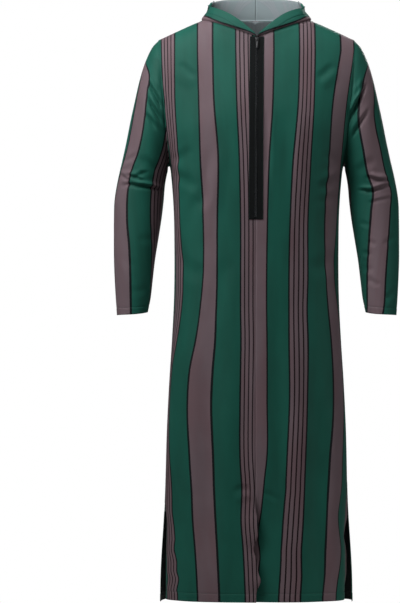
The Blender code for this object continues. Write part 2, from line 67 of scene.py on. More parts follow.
openings = {
    "ventTopDown": 1.124,
    "ventReach": 0.10,          # below its top, where the vent is fully parted
    "ventStep": 0.011,          # depth between the two edges of the vent
    "ventRipple": 0.5,          # how far the wavering edge of the vent stands off, for how far it wavers
    "ventNarrow": 7.0,          # one seventh of a front's width moves with the edge
    "slitTopDown": {-1: 1.180, 1: 1.110},
    "slitStep": 0.004,          # how far each edge of a slit moves off the other
    "slitSwing": 0.3,           # how far the front's edge moves forward, for how far it stands in
    "rimBend": 4,
    "cornerLift": {-1: 0.006, 1: 0.011},    # the fronts' lower corners curl up beside the slits
    "cornerOut": 0.004,
    "cornerReach": 0.06,
    "cornerBend": 14,
}

grid = {
    "frontColumns": 84, "backColumns": 128, "lowerRows": 214, "centreRows": 52, "neckRows": 50,
    "sleeveRings": 268, "sleeveAround": 132, "hoodTurns": 112, "hoodStations": 92, "hoodCrowding": 0.3,
    "tapeRows": 310, "tapeColumns": 12,
    # evened out: the changes from sections to patch at the armpits, and from centre line to neckline
    "blendPasses": 220,
    "armpitBlend": 22.0,        # rows on either side of each
    "chestBlend": 24.0,
    "chestShare": 0.12,         # of the columns, over which the second one sets in
}

seams = {
    "armholeDip": 0.0034,       # the sleeve sinks beside the armhole, and the body's edge stands over it
    "armholeRoll": 0.0015,
    "atShoulder": 0.15,         # share of both that is left where the seam crosses the shoulder
    "fadeDown": 0.06,
    "fadeReach": 0.10,
    "neckDip": 0.0016,          # the body sinks beside the neckline, and the hood bulges over it
    "neckDipReach": 1.2,
    "neckRoll": 0.0026,
    "neckRollReach": 1.5,
    "reach": 0.0030,            # from the seam to the deepest place
    "rows": (0, 0.0008, 0.0016, 0.0026, 0.0038, 0.0052),
}

hems = {
    "deep": 0.022,              # cloth turned in at the hem, the cuffs and the face opening
    "stitchLine": 0.020,
    "narrow": 0.008,            # stitching beside the slits and the vent
    "raised": 0.00035,          # over the single cloth
    "stepBefore": 0.002,        # the raised part ends around the stitching
    "stepWide": 0.003,
    "groove": 0.0005,
    "grooveWide": 0.0013,
    # rows of the grid from a hem, close together where it is sewn
    "rows": (0, 0.003, 0.008, 0.014, 0.0175, 0.0190, 0.0200, 0.0210, 0.0225, 0.026, 0.031),
}
sewnRow = hems["rows"].index(hems["stitchLine"])


def table(columns, rows):
    return {name: np.array(values, float) for name, values in zip(columns, zip(*rows))}


def smooth(xs, ys, x):
    # A cubic through the rows of a table, with x clamped to its ends
    slopes = np.gradient(ys, xs)
    x = np.clip(x, xs[0], xs[-1])
    i = np.clip(np.searchsorted(xs, x) - 1, 0, len(xs) - 2)
    h = xs[i + 1] - xs[i]
    s = (x - xs[i]) / h
    start = (2 * s**3 - 3 * s**2 + 1) * ys[i] + (s**3 - 2 * s**2 + s) * h * slopes[i]
    end = (3 * s**2 - 2 * s**3) * ys[i + 1] + (s**3 - s**2) * h * slopes[i + 1]
    return start + end


def read(rows, column, at):
    # One column of a table, at places along its first column
    return smooth(next(iter(rows.values())), rows[column], at)


def ease(value):
    value = np.clip(value, 0, 1)
    return value * value * (3 - 2 * value)


def even(values, times):
    # Evens out neighbours in place, and leaves the first and the last
    for _ in range(times):
        values[1:-1] = (values[:-2] + 2 * values[1:-1] + values[2:]) / 4


def matched(*values):
    return np.broadcast_arrays(*(np.asarray(value, float) for value in values))


def linear(colour):
    # sRGB hex to linear
    parts = [int(colour[i:i + 2], 16) / 255 for i in (1, 3, 5)]
    return tuple(c / 12.92 if c <= 0.04045 else ((c + 0.055) / 1.055) ** 2.4 for c in parts) + (1,)


def newMaterial(name):
    made = bpy.data.materials.new(name)
    made.use_nodes = True
    return made, made.node_tree.nodes["Principled BSDF"]


def setInputs(made, node, inputs):
    # Each input gets a value, or a link where it is given another node's socket
    for name, value in inputs.items():
        if isinstance(value, bpy.types.NodeSocket):
            made.node_tree.links.new(value, node.inputs[name])
        else:
            node.inputs[name].default_value = value


def addNode(made, kind, inputs=None, gives=0, **settings):
    # Gives back the output that is wanted. A colour mix takes its share at 0 and its colours at 6 and 7, and
    # has its result at 2.
    node = made.node_tree.nodes.new("ShaderNode" + kind)
    for name, value in settings.items():
        setattr(node, name, value)
    setInputs(made, node, inputs or {})
    return node.outputs[gives]


# The printed stripes across the cloth, in millimetres of one repeat: where each colour begins
stripes = {
    "repeat": 182,
    "border": 3.8,      # dark line between two stripes
    "pin": 2.8,         # pinstripe
    "pins": (10, 20, 30),
    "fills": {0: "mauve", 40: "green", 92: "mauve", 130: "green"},
    "groupEnd": 40,     # of the four narrow mauve strips between the pinstripes
    "mauve": (92, 130),
}

printed = {
    "green": "#195a4d",
    "mauve": "#716167",
    "warm": "#f6dcdc",          # the dye's slight unevenness leans to this
    "line": "#0d1418",
    "pin": "#1d1216",
    "waver": 0.0008,            # of the printed edges
    "waverScale": (40, 220, 1),     # 25 mm across the cloth and 4.5 mm along it
    "cloudScale": 9.0,              # 110 mm
    "cloudRange": (0.3, 0.7),       # of the noise
    "cloudShade": (0.93, 1.05),
    "streakScale": (26, 5, 1),      # 40 mm across and 200 mm along
    "warmRange": (0.42, 0.66),
    "warmest": 0.5,
    "roughness": 0.60,
    "gloss": 0.16,
    "sheen": 0.03,
    "threadSpacing": 0.0011,    # real threads lie 0.3 mm apart, too fine to show, so they are drawn coarser
    "weaveDepth": 0.00012,
    "weaveStrength": 0.35,
}

reverse = {
    "pale": "#8a9498",
    # near-black, painted shade along the inside of the slits, where the cloth lies in shadow
    "facing": "#171c1d",
    "showThrough": 0.12,        # share of the print that shows
    "slitShadeWidth": 0.090,           # width of the painted shade along the slits
    "roughness": 0.75,
    "gloss": 0.15,
    "sheen": 0.12,
    "threadSpacing": 0.0016,
    "weaveDepth": 0.0002,
    "weaveStrength": 0.6,
}


def stripeColours(made, across):
    # The repeat as a ramp with hard steps, read by where a point lies across the cloth
    ramp = addNode(made, "ValToRGB", {"Fac": across})
    steps = []
    for edge, fill in stripes["fills"].items():
        steps += [(edge - stripes["border"] / 2, "line"), (edge + stripes["border"] / 2, fill)]
    for pin in stripes["pins"]:
        steps += [(pin - stripes["pin"] / 2, "pin"), (pin + stripes["pin"] / 2, "mauve")]
    steps = sorted((at % stripes["repeat"], name) for at, name in steps)
    steps = [(0.0, steps[-1][1])] + steps
    elements = ramp.node.color_ramp.elements
    ramp.node.color_ramp.interpolation = "CONSTANT"
    while len(elements) > 1:
        elements.remove(elements[-1])
    for i, (at, name) in enumerate(steps):
        element = elements[0] if i == 0 else elements.new(at / stripes["repeat"])
        element.position = at / stripes["repeat"]
        element.color = linear(printed[name])
    return ramp


def clothCoordinates(made):
    # A point's place on the cut cloth, in metres across and along it
    place = addNode(made, "UVMap", uv_map="cloth")
    return place, *(addNode(made, "SeparateXYZ", {"Vector": place}, gives=axis) for axis in ("X", "Y"))


def acrossRepeat(made, place, x):
    # How far through the repeat a point lies. The printed edges waver where the ink met the threads.
    stretched = addNode(made, "Mapping", {"Vector": place, "Scale": printed["waverScale"]})
    waver = addNode(made, "TexNoise", {"Vector": stretched, "Scale": 1.0, "Detail": 2.0})
    shift = addNode(made, "Math", {0: waver, 1: printed["waver"], 2: x}, operation="MULTIPLY_ADD")
    repeats = addNode(made, "Math", {0: shift, 1: stripes["repeat"] / 1000}, operation="DIVIDE")
    return addNode(made, "Math", {0: repeats}, operation="FRACT")


def weave(made, x, y, cloth):
    # Plain weave: warp and weft rise in turn
    waves = []
    for axis in (x, y):
        turns = addNode(made, "Math", {0: axis, 1: math.pi / cloth["threadSpacing"]}, operation="MULTIPLY")
        waves.append(addNode(made, "Math", {0: turns}, operation="SINE"))
    height = addNode(made, "Math", {0: waves[0], 1: waves[1]}, operation="MULTIPLY")
    return addNode(made, "Bump", {"Height": height, "Strength": cloth["weaveStrength"],
                                  "Distance": cloth["weaveDepth"]})


def printedPolyester():
    # Woven polyester, heat-printed with stripes: close and smooth, with a low sheen along the folds
    made, shader = newMaterial("printed woven polyester")
    place, x, y = clothCoordinates(made)
    colour = stripeColours(made, acrossRepeat(made, place, x))
    cloudy = addNode(made, "TexNoise", {"Vector": place, "Scale": printed["cloudScale"], "Detail": 4.0})
    (least, most), (dark, light) = printed["cloudRange"], printed["cloudShade"]
    shade = addNode(made, "MapRange", {"Value": cloudy, "From Min": least, "From Max": most, "To Min": dark,
                                       "To Max": light})
    streaks = addNode(made, "Mapping", {"Vector": place, "Scale": printed["streakScale"]})
    warmth = addNode(made, "TexNoise", {"Vector": streaks, "Scale": 1.0, "Detail": 2.0})
    least, most = printed["warmRange"]
    warmer = addNode(made, "MapRange", {"Value": warmth, "From Min": least, "From Max": most,
                                        "To Max": printed["warmest"]})
    dyed = addNode(made, "Mix", {0: warmer, 6: colour, 7: linear(printed["warm"])}, gives=2, data_type="RGBA",
                   blend_type="MULTIPLY")
    tinted = addNode(made, "VectorMath", {0: dyed, "Scale": shade}, operation="SCALE")
    setInputs(made, shader, {"Base Color": tinted, "Normal": weave(made, x, y, printed),
                             "Roughness": printed["roughness"], "Specular IOR Level": printed["gloss"],
                             "Sheen Weight": printed["sheen"], "Sheen Roughness": 0.5})
    return made


def reverseSide():
    # The unprinted side: pale, with the print faintly coming through and the weave easier to see,
    # the printed side again where a hem is turned over it, and painted shade along the slits: near-black,
    # without sheen
    made, shader = newMaterial("polyester reverse side")
    place, x, y = clothCoordinates(made)
    colour = stripeColours(made, acrossRepeat(made, place, x))
    pale = addNode(made, "Mix", {0: reverse["showThrough"], 6: linear(reverse["pale"]), 7: colour}, gives=2,
                   data_type="RGBA")
    edges = addNode(made, "UVMap", uv_map="edge")
    fromHem, fromSlit = (addNode(made, "SeparateXYZ", {"Vector": edges}, gives=axis) for axis in ("X", "Y"))
    turned = addNode(made, "Math", {0: fromHem, 1: hems["deep"]}, operation="LESS_THAN")
    # Painted shade: within this width of a slit the inside is near-black and loses its sheen
    inSlitShade = addNode(made, "Math", {0: fromSlit, 1: reverse["slitShadeWidth"]}, operation="LESS_THAN")
    hemmed = addNode(made, "Mix", {0: turned, 6: pale, 7: colour}, gives=2, data_type="RGBA")
    withSlitShade = addNode(made, "Mix", {0: inSlitShade, 6: hemmed, 7: linear(reverse["facing"])}, gives=2,
                       data_type="RGBA")
    sheenOffInSlitShade = addNode(made, "Math", {0: inSlitShade, 1: -reverse["sheen"], 2: reverse["sheen"]},
                   operation="MULTIPLY_ADD")
    setInputs(made, shader, {"Base Color": withSlitShade, "Normal": weave(made, x, y, reverse),
                             "Roughness": reverse["roughness"], "Specular IOR Level": reverse["gloss"],
                             "Sheen Weight": sheenOffInSlitShade})
    return made


printedCloth = printedPolyester()
reverseCloth = reverseSide()
print("cloth materials made")


def spread(count, crowding=0.5):
    # Places from 0 to 1 that lie closer together at both ends, for seams and hems
    t = np.linspace(0, 1, count + 1)
    return (1 - crowding) * t + crowding * (1 - np.cos(math.pi * t)) / 2


def fromHemRows(reach, rows):
    # Distances from a hem to the far end of a piece
    sewn = hems["rows"]
    return np.concatenate((sewn, np.linspace(sewn[-1], reach, rows + 2 - len(sewn))[1:]))


def hemRelief(distance, line):
    # The doubled cloth of a hem stands a little higher, and its stitching draws it in
    doubled = hems["raised"] * (1 - ease((distance - line + hems["stepBefore"]) / hems["stepWide"]))
    return doubled - hems["groove"] * np.exp(-((distance - line) / hems["grooveWide"]) ** 2)


def seamRelief(distance, reach):
    # Nothing on the seam itself, most at a few millimetres from it
    t = distance / reach
    return t * np.exp(1 - t)


def belowShoulder(points):
    # The share of the armhole's relief at each point
    least = seams["atShoulder"]
    return least + (1 - least) * ease((-points[..., 2] - seams["fadeDown"]) / seams["fadeReach"])


# Broad folds of the skirt: where around it in degrees from the centre front, how wide, how high at the hem,
# and where each fades out
skirtFolds = table(("turn", "width", "height", "topDown"), (
    (-72, 16, 0.007, 0.8), (-38, 14, 0.006, 0.95), (-14, 10, 0.004, 1.05), (24, 12, 0.006, 0.95),
    (52, 15, 0.008, 0.8), (78, 12, -0.006, 1), (106, 14, 0.008, 0.85), (134, 13, -0.007, 0.9),
    (160, 15, 0.008, 0.75), (188, 14, -0.007, 0.85), (214, 15, 0.008, 0.8), (243, 14, 0.007, 0.9),
))

# The body's sections below the armpits
bodySections = table(("down", "halfWidth", "front", "back"), (
    (0.352, 0.208, 0.132, 0.128), (0.384, 0.2036, 0.132, 0.127), (0.433, 0.2, 0.13, 0.123),
    (0.53, 0.1978, 0.127, 0.116), (0.674, 0.1988, 0.126, 0.116), (0.77, 0.2036, 0.128, 0.124),
    (0.866, 0.2098, 0.131, 0.132), (0.963, 0.2145, 0.134, 0.137), (1.156, 0.2193, 0.139, 0.142),
    (1.348, 0.229, 0.146, 0.148), (1.4, 0.2297, 0.148, 0.15),
))


def foldHeight(side, facing, u, down):
    turn = side * 90 * u if facing < 0 else 180 - side * 90 * u
    total = 0
    for centre, width, height, top in zip(*skirtFolds.values()):
        away = (turn - centre + 180) % 360 - 180
        total = total + height * np.exp(-(away / width) ** 2) * ease((down - top) / (robe["hemDown"] - top))
    return total


def bodyPoint(side, facing, u, down):
    # A section's quarter from the centre (u = 0) to the side (u = 1)
    u, down = matched(u, down)
    width = read(bodySections, "halfWidth", down)
    depth = read(bodySections, "front" if facing < 0 else "back", down)
    power = 2 / robe["roundness"]
    angle = u * math.pi / 2
    x = side * width * np.sin(angle) ** power
    y = facing * depth * np.maximum(np.cos(angle), 0) ** power
    out = np.stack((x / width**2, y / depth**2), axis=-1)
    out /= np.linalg.norm(out, axis=-1)[..., None]
    out *= foldHeight(side, facing, u, down)[..., None]
    sideways = out[..., 0] * np.minimum(1, robe["foldSpread"] * u)       # none on the centre line
    return np.stack((x + sideways, y + out[..., 1], -down), axis=-1)


sleeveRings = table(("outerX", "outerDown", "innerX", "innerDown", "middleY", "halfDepth"), (
    (0.236, 0.048, 0.208, 0.352, 0, 0.07), (0.253, 0.0685, 0.2108, 0.357, 0.001, 0.071),
    (0.27, 0.106, 0.213, 0.3625, 0.002, 0.072), (0.2825, 0.148, 0.2148, 0.368, 0.003, 0.073),
    (0.293, 0.194, 0.2163, 0.374, 0.004, 0.074), (0.3035, 0.242, 0.2176, 0.3805, 0.005, 0.074),
    (0.313, 0.29, 0.219, 0.388, 0.006, 0.073), (0.323, 0.336, 0.2203, 0.397, 0.007, 0.071),
    (0.334, 0.384, 0.2217, 0.411, 0.007, 0.069), (0.342, 0.4326, 0.224, 0.44, 0.005, 0.067),
    (0.3435, 0.481, 0.229, 0.481, 0.001, 0.065), (0.3435, 0.529, 0.2365, 0.529, -0.005, 0.062),
    (0.343, 0.577, 0.244, 0.577, -0.012, 0.058), (0.341, 0.6254, 0.2495, 0.6254, -0.02, 0.053),
    (0.338, 0.6736, 0.2545, 0.6736, -0.028, 0.047), (0.335, 0.7098, 0.2615, 0.7098, -0.034, 0.043),
))


def sleeveRing(side, at, angle):
    # A ring of the sleeve at a row number of its table; angle 0 is underneath, 90 degrees at the front
    at, angle = matched(at, angle)
    rows = np.arange(len(sleeveRings["outerX"]), dtype=float)
    row = {name: smooth(rows, values, at) for name, values in sleeveRings.items()}
    low = np.stack((row["innerX"], row["middleY"], -row["innerDown"]), axis=-1)
    high = np.stack((row["outerX"], row["middleY"], -row["outerDown"]), axis=-1)
    point = (low + high) / 2 + (low - high) / 2 * np.cos(angle)[..., None]
    point[..., 1] -= row["halfDepth"] * np.sin(angle)
    return point * np.array((side, 1, 1))


def neckPoint(side, facing, angle):
    # The neckline's quarter from the centre (angle 0) to the shoulder seam (90 degrees)
    angle = np.asarray(angle, float)
    x = side * robe["neckHalfWidth"] * np.sin(angle)
    depth = robe["neckFront"] if facing < 0 else robe["neckBack"]
    y = facing * depth * np.cos(angle) + robe["shoulderSeamY"] * np.sin(angle)
    if facing < 0:
        z = -robe["neckTipDown"] * (1 - np.sin(angle)) ** robe["neckTipBend"]
    else:
        z = robe["napeRise"] * np.cos(angle)
    return np.stack((x, y, z), axis=-1)


centreShare = 0.5       # of the way up the upper front, where the centre line ends and the neckline begins
centreLines = {
    -1: table(("down", "depth"), (
        (0.044, 0.074), (0.09, 0.093), (0.14, 0.11), (0.21, 0.125), (0.28, 0.131), (0.352, 0.132),
    )),
    1: table(("down", "depth"), (
        (-0.004, 0.08), (0.07, 0.104), (0.13, 0.121), (0.2, 0.13), (0.28, 0.131), (0.352, 0.128),
    )),
}


def centreEdge(side, facing, v):
    # Up the centre line from the armpits' height, then along the neckline to the shoulder seam
    v = np.asarray(v, float)
    top = robe["neckTipDown"] if facing < 0 else -robe["napeRise"]
    down = robe["armpitDown"] + (top - robe["armpitDown"]) * np.minimum(v / centreShare, 1)
    middle = np.stack((0 * v, facing * read(centreLines[facing], "depth", down), -down), axis=-1)
    angle = np.clip((v - centreShare) / (1 - centreShare), 0, 1) * math.pi / 2
    return np.where((v > centreShare)[..., None], neckPoint(side, facing, angle), middle)


def upperPoint(side, facing, u, v):
    # A patch between the armpits' section, the shoulder seam, the centre edge and the armhole
    u, v = matched(u, v)
    armpit = robe["armpitDown"]
    neck, shoulder = neckPoint(side, facing, math.pi / 2), sleeveRing(side, 0, -facing * math.pi)
    centre, arm = centreEdge(side, facing, v), sleeveRing(side, 0, -facing * math.pi * v)
    low = bodyPoint(side, facing, u, armpit)
    u, v = u[..., None], v[..., None]
    high = neck + (shoulder - neck) * u
    corners = ((1 - u) * (1 - v) * bodyPoint(side, facing, 0, armpit) + u * v * shoulder
               + u * (1 - v) * bodyPoint(side, facing, 1, armpit) + (1 - u) * v * neck)
    return (1 - v) * low + v * high + (1 - u) * centre + u * arm - corners


def bodyGrid(side, facing, us):
    # A front or half of the back with its vent and slit closed: rows from the hem up, columns from the centre
    reach = robe["hemDown"] - robe["armpitDown"]
    downs = robe["hemDown"] - fromHemRows(reach, grid["lowerRows"])
    lower = bodyPoint(side, facing, us[None, :], downs[:, None])
    vs = np.concatenate((np.linspace(0, centreShare, grid["centreRows"] + 1)[1:],
                         np.linspace(centreShare, 1, grid["neckRows"] + 1)[1:]))
    made = np.concatenate((lower, upperPoint(side, facing, us[None, :], vs[:, None])))
    rows = np.arange(len(made)) - grid["lowerRows"]
    armpit = np.exp(-(rows / grid["armpitBlend"]) ** 4)[1:-1, None, None]
    chest = np.exp(-((rows - grid["centreRows"]) / grid["chestBlend"]) ** 4)[1:-1, None, None]
    blend = 0.5 * np.maximum(armpit, chest * ease(us[1:-1] / grid["chestShare"])[None, :, None])
    for _ in range(grid["blendPasses"]):
        inner = (made[:-2, 1:-1] + made[2:, 1:-1]) / 2
        made[1:-1, 1:-1] += (inner - made[1:-1, 1:-1]) * blend
    return made, np.concatenate((downs, np.full(len(vs), robe["armpitDown"])))


# Where each edge of the front vent runs across, below the top of the vent
ventEdge = {
    -1: table(("down", "x"), (
        (1.1, -0.0046), (1.147, -0.0046), (1.183, -0.0034), (1.199, -0.0003), (1.215, 0.0021),
        (1.232, 0.0018), (1.249, -0.001), (1.266, -0.0075), (1.277, -0.0095), (1.289, -0.0058),
        (1.304, -0.001), (1.332, 0.0021), (1.346, 0.0068), (1.358, 0.0044), (1.37, -0.001), (1.4, -0.0034),
    )),
    1: table(("down", "x"), (
        (1.1, -0.0045), (1.124, -0.0045), (1.2, -0.009), (1.28, -0.014), (1.33, -0.011), (1.4, -0.013),
    )),
}

# How far the front's edge stands in from the side along each slit
slitEdge = {
    -1: table(("down", "gap"), (
        (1.16, 0), (1.199, 0.01), (1.247, 0.015), (1.294, 0.019), (1.342, 0.0225), (1.378, 0.024),
        (1.4, 0.024),
    )),
    1: table(("down", "gap"), (
        (1.115, 0), (1.163, 0.001), (1.199, 0.004), (1.223, 0.01), (1.247, 0.0145), (1.27, 0.012),
        (1.294, 0.011), (1.318, 0.012), (1.342, 0.013), (1.366, 0.017), (1.4, 0.019),
    )),
}

# How far the centre front hangs towards the wearer's right below the chest
centreDrift = table(("down", "x"), (
    (0.04, 0), (0.12, -0.0013), (0.2, -0.0022), (0.48, -0.0036), (0.75, -0.0045), (1.1, -0.0045),
))


def openEdges(points, side, facing, us, downs):
    # The lapped front vent and the side slits, below the points where their seams end
    u, down = us[None, :], downs[:, None]
    opened = points.copy()
    x, y, z = opened[..., 0], opened[..., 1], opened[..., 2]
    slitTop = openings["slitTopDown"][side]
    slit = ease((down - slitTop) / (robe["hemDown"] - slitTop))
    vent = ease((down - openings["ventTopDown"]) / openings["ventReach"])
    rim = u ** openings["rimBend"]
    if facing > 0:
        y += slit * rim * openings["slitStep"]
        return opened
    near = np.maximum(0, 1 - u * openings["ventNarrow"]) ** 2
    edge, gap = ventEdge[side], slitEdge[side]
    moved = read(edge, "x", down) - edge["x"][0]
    x += np.where(down > edge["down"][0], moved, 0) * near
    if side < 0:
        y -= vent * near * (openings["ventStep"] * 0.5 + openings["ventRipple"] * moved)
    else:
        y += vent * near * openings["ventStep"]
    back = read(gap, "gap", down) * (down > gap["down"][0])
    x -= side * back * rim
    y -= slit * rim * openings["slitStep"] + openings["slitSwing"] * back * rim
    z += (slit + vent * (1 - u) * (1 - slit)) * robe["frontHemRise"]
    corner = np.maximum(0, (down - robe["hemDown"] + openings["cornerReach"]) / openings["cornerReach"]) ** 2
    corner = corner * u ** openings["cornerBend"]
    z += corner * openings["cornerLift"][side]
    y -= corner * openings["cornerOut"]
    return opened


def shiftCentre(points):
    drift = read(centreDrift, "x", -points[..., 2])
    points[..., 0] += drift * np.maximum(0, 1 - np.abs(points[..., 0]) / robe["driftReach"])
    return points


# Where the stripes' edges lie across each front, in millimetres from the centre line, at each height below
# the origin. The cloth hangs a little off the grain, so they wander.
frontStripes = {
    -1: ((40, 92, 130, 182), (
        (0.077, 51, 106, 142, 197), (0.199, 49, 103, 139, 196), (0.342, 43, 92, 135, 188),
        (0.484, 40, 95, 128, 185), (0.626, 40, 96, 129, 176), (0.697, 40, 98, 136, 180),
        (0.769, 39, 100, 146, 191), (0.840, 40, 106, 159, 205), (0.911, 41, 110, 164, 210),
        (1.053, 41, 105, 159, 209), (1.124, 37, 103, 155, 204), (1.195, 39, 99, 153, 201),
        (1.265, 34, 95, 148, 194), (1.374, 29, 90, 142, 189),
    )),
    1: ((130, 182, 222, 274, 312), (
        (0.077, 40, 102, 139, 201, 233), (0.199, 37, 98, 136, 181, 215), (0.342, 28, 85, 128, 171, 202),
        (0.484, 24, 78, 121, 161, 192), (0.626, 22, 75, 121, 165, 185), (0.697, 22, 75, 119, 170, 195),
        (0.769, 23, 75, 121, 177, 205), (0.911, 23, 76, 119, 182, 213), (1.053, 22, 70, 114, 172, 209),
        (1.100, 16.5, 68, 112, 169.5, 209), (1.127, 14, 67, 111, 168, 205.5),
        (1.151, 11.5, 64.5, 110, 167, 197), (1.175, 9, 62.5, 109, 166, 191),
        (1.199, 5, 60.5, 108, 165, 191), (1.223, 1.5, 59, 106.5, 164, 196), (1.247, 2, 57.5, 105, 163, 201),
        (1.265, 5, 56, 104, 162, 202), (1.282, 6, 55.5, 104, 161.5, 201), (1.306, 4, 54.5, 104.5, 161, 197),
        (1.330, 1, 53, 105, 160, 192), (1.354, -6, 51.5, 103.5, 157.5, 189), (1.378, -9, 50, 102, 155, 187),
    )),
}

# Inner edge of the sleeve's mauve stripe seen from the front, and how wide that stripe runs around the arm
sleeveStripes = {
    -1: table(("down", "x", "wide"), (
        (0.107, 0.264, 0.036), (0.131, 0.256, 0.038), (0.168, 0.2605, 0.038), (0.264, 0.2717, 0.04),
        (0.312, 0.2813, 0.041), (0.372, 0.3017, 0.043), (0.408, 0.3077, 0.05), (0.48, 0.31, 0.058),
        (0.553, 0.3041, 0.06), (0.625, 0.3017, 0.058), (0.698, 0.3005, 0.056),
    )),
    1: table(("down", "x", "wide"), (
        (0.107, 0.2667, 0.036), (0.134, 0.2575, 0.04), (0.18, 0.2487, 0.042), (0.22, 0.2422, 0.043),
        (0.319, 0.2544, 0.046), (0.38, 0.2667, 0.048), (0.404, 0.2756, 0.049), (0.462, 0.2727, 0.049),
        (0.522, 0.2684, 0.048), (0.609, 0.264, 0.047), (0.698, 0.264, 0.045),
    )),
}

printPlace = {
    "sectionDepth": 0.64,       # a section's depth for its half width
    "upperDown": (0.05, 0.20, 0.352),           # half widths above the armpits
    "upperWidth": (0.275, 0.235, 0.208),
    "arcSteps": 400,
    "sideStretch": 1.45,        # how far the print opens out at most between its last two marks
    "sideLeast": 0.015,         # between those marks
    "sidePasses": 40,           # the outermost border only shows on the silhouette, so it is drawn smoothly
    "frontFade": 0.08,          # below the armpits, where the print starts to follow the cloth's own rows
    "backFade": 0.15,
    "backStart": 0.020,         # of the repeat, at the middle of the back
    "armStretch": {-1: 1.12, 1: 1.30},      # the sleeves' print is that much wider than the body's
    "capDown": 0.100,           # top of the sleeve, where its stripes turn towards the neck
    "capTurn": 15.0,            # radians to a metre
    "capRound": 0.02,
    "ringDown": 0.03,           # under that, where the print leaves the rings, and over what height
    "ringFade": 0.05,
    "capGreen": 0.06,           # the band beside the armhole stays green that far down
}


def sectionArc(x, down):
    # How far around the body a place at x lies from the centre line
    width = np.where(down > robe["armpitDown"], read(bodySections, "halfWidth", down),
                     np.interp(down, printPlace["upperDown"], printPlace["upperWidth"]))
    t = np.linspace(0, 1, printPlace["arcSteps"])
    power = robe["roundness"]
    y = printPlace["sectionDepth"] * (1 - t**power) ** (1 / power)
    arc = np.concatenate(([0], np.cumsum(np.hypot(np.diff(t), np.diff(y)))))
    return np.interp(np.clip(np.abs(x) / width, 0, 1), t, arc) * width * np.sign(x)


def alongLengths(points, axis):
    # Running length along one axis of a grid
    steps = np.linalg.norm(np.diff(points, axis=axis), axis=-1)
    start = np.zeros_like(steps[:1] if axis == 0 else steps[:, :1])
    return np.cumsum(np.concatenate((start, steps), axis=axis), axis=axis)


def alongRows(side, points):
    # The print's place on the cloth itself, row by row, so that it keeps its width round the sides
    printedAt, rows = frontStripes[side]
    rows, printedAt = np.array(rows), np.array(printedAt) / 1000
    lengths = alongLengths(points, 1)
    reach = np.maximum.accumulate(side * points[..., 0], axis=1)
    marks = np.stack([smooth(rows[:, 0], rows[:, k + 1], -points[:, 0, 2]) / 1000
                      for k in range(len(printedAt))], axis=-1)
    places = np.array([np.interp(marks[r], reach[r], lengths[r]) for r in range(len(points))])
    last, before = places[:, -1], places[:, -2]
    last[:] = np.minimum(last, before + printPlace["sideStretch"] * (printedAt[-1] - printedAt[-2]))
    even(last, printPlace["sidePasses"])
    last[:] = np.maximum(last, before + printPlace["sideLeast"])
    across = np.array([np.interp(lengths[r], places[r], printedAt) for r in range(len(points))])
    return across + np.minimum(lengths - places[:, :1], 0) + np.maximum(lengths - places[:, -1:], 0)


def frontStripe(side, points):
    # Where each point lies across the print, in metres
    printedAt, rows = frontStripes[side]
    rows, printedAt = np.array(rows), np.array(printedAt) / 1000
    x, down = side * points[..., 0], -points[..., 2]
    knots = [sectionArc(smooth(rows[:, 0], rows[:, k + 1], down) / 1000, down) for k in range(len(printedAt))]
    arc = sectionArc(x, down)
    across = printedAt[0] + arc - knots[0]
    for k, start in enumerate(knots):
        scale = 1 if start is knots[-1] else (printedAt[k + 1] - printedAt[k]) / (knots[k + 1] - start)
        across = np.where(arc > start, printedAt[k] + scale * (arc - start), across)
    below = ease((down - robe["armpitDown"]) / printPlace["frontFade"])
    return across + (alongRows(side, points) - across) * below


def sleeveStripe(side, points):
    # As on the fronts, but around the arm's level section, from the front over its outer side to the back
    rows, line = sleeveRings, sleeveStripes[side]
    x, down = side * points[..., 0], -points[..., 2]
    outer = np.interp(down, rows["outerDown"], rows["outerX"])
    armpitWidth = np.interp(robe["armpitDown"], rows["outerDown"], rows["outerX"]) - rows["innerX"][0]
    inner = np.where(down > robe["armpitDown"], np.interp(down, rows["innerDown"], rows["innerX"]),
                     outer - armpitWidth)
    middle, radius = (outer + inner) / 2, (outer - inner) / 2
    turn = np.arcsin(np.clip((x - middle) / radius, -1, 1))
    turn[:, points.shape[1] // 2:] = math.pi - turn[:, points.shape[1] // 2:]
    ringTurn = np.linspace(0, math.tau, points.shape[1])[None, :] - math.pi / 2
    rise = printPlace["capDown"] - down
    turn += (ringTurn - turn) * ease((rise + printPlace["ringDown"]) / printPlace["ringFade"])
    start = np.arcsin(np.clip((read(line, "x", down) - middle) / radius, -1, 1))
    start += printPlace["capTurn"] * (rise + np.hypot(rise, printPlace["capRound"])) / 2
    wide = read(line, "wide", down)
    away = (turn - start) * radius
    begins, ends = stripes["mauve"][0] / 1000, stripes["mauve"][1] / 1000
    stretch = printPlace["armStretch"][side]
    inside = begins + (ends - begins) * away / wide
    beyond = np.where(away < 0, begins + away / stretch, ends + (away - wide) / stretch)
    across = np.where((away >= 0) & (away < wide), inside, beyond)
    green = np.maximum(across, (stripes["groupEnd"] + stripes["border"]) / 1000)
    return np.where(rise > -printPlace["capGreen"], green, across)


def gridNormals(points, flip):
    # Outward directions of a grid of points
    along = np.gradient(points, axis=0)
    across = np.gradient(points, axis=1)
    normals = np.cross(across, along)
    length = np.linalg.norm(normals, axis=-1)[..., None]
    return normals / np.maximum(length, 1e-9) * (-1 if flip else 1)


def curveThrough(points, steps=6):
    # A smooth line through a crease's few points
    points = np.array(points, float)
    if len(points) < 3:
        return np.linspace(points[0], points[-1], steps + 1)
    knots = np.arange(len(points), dtype=float)
    fine = np.linspace(0, knots[-1], (len(points) - 1) * steps + 1)
    return np.stack([smooth(knots, points[:, axis], fine) for axis in range(points.shape[1])], axis=-1)


folds = {
    # bumps across a fold: how high, where and how wide, for a height and a width of 1
    "crease": ((1.0, 0.0, 1.0), (-0.35, 1.7, 0.8)),
    "tuck": ((1.0, 0.9, 0.9), (-1.6, -0.45, 0.6)),
    "fade": 0.3,                # share of its length over which each end fades out
    "least": 0.05,              # how far the cloth has to face the viewer to be folded
    "passes": 2,                # tucks are no sharper than the grid can show
}
farAway = 9.0


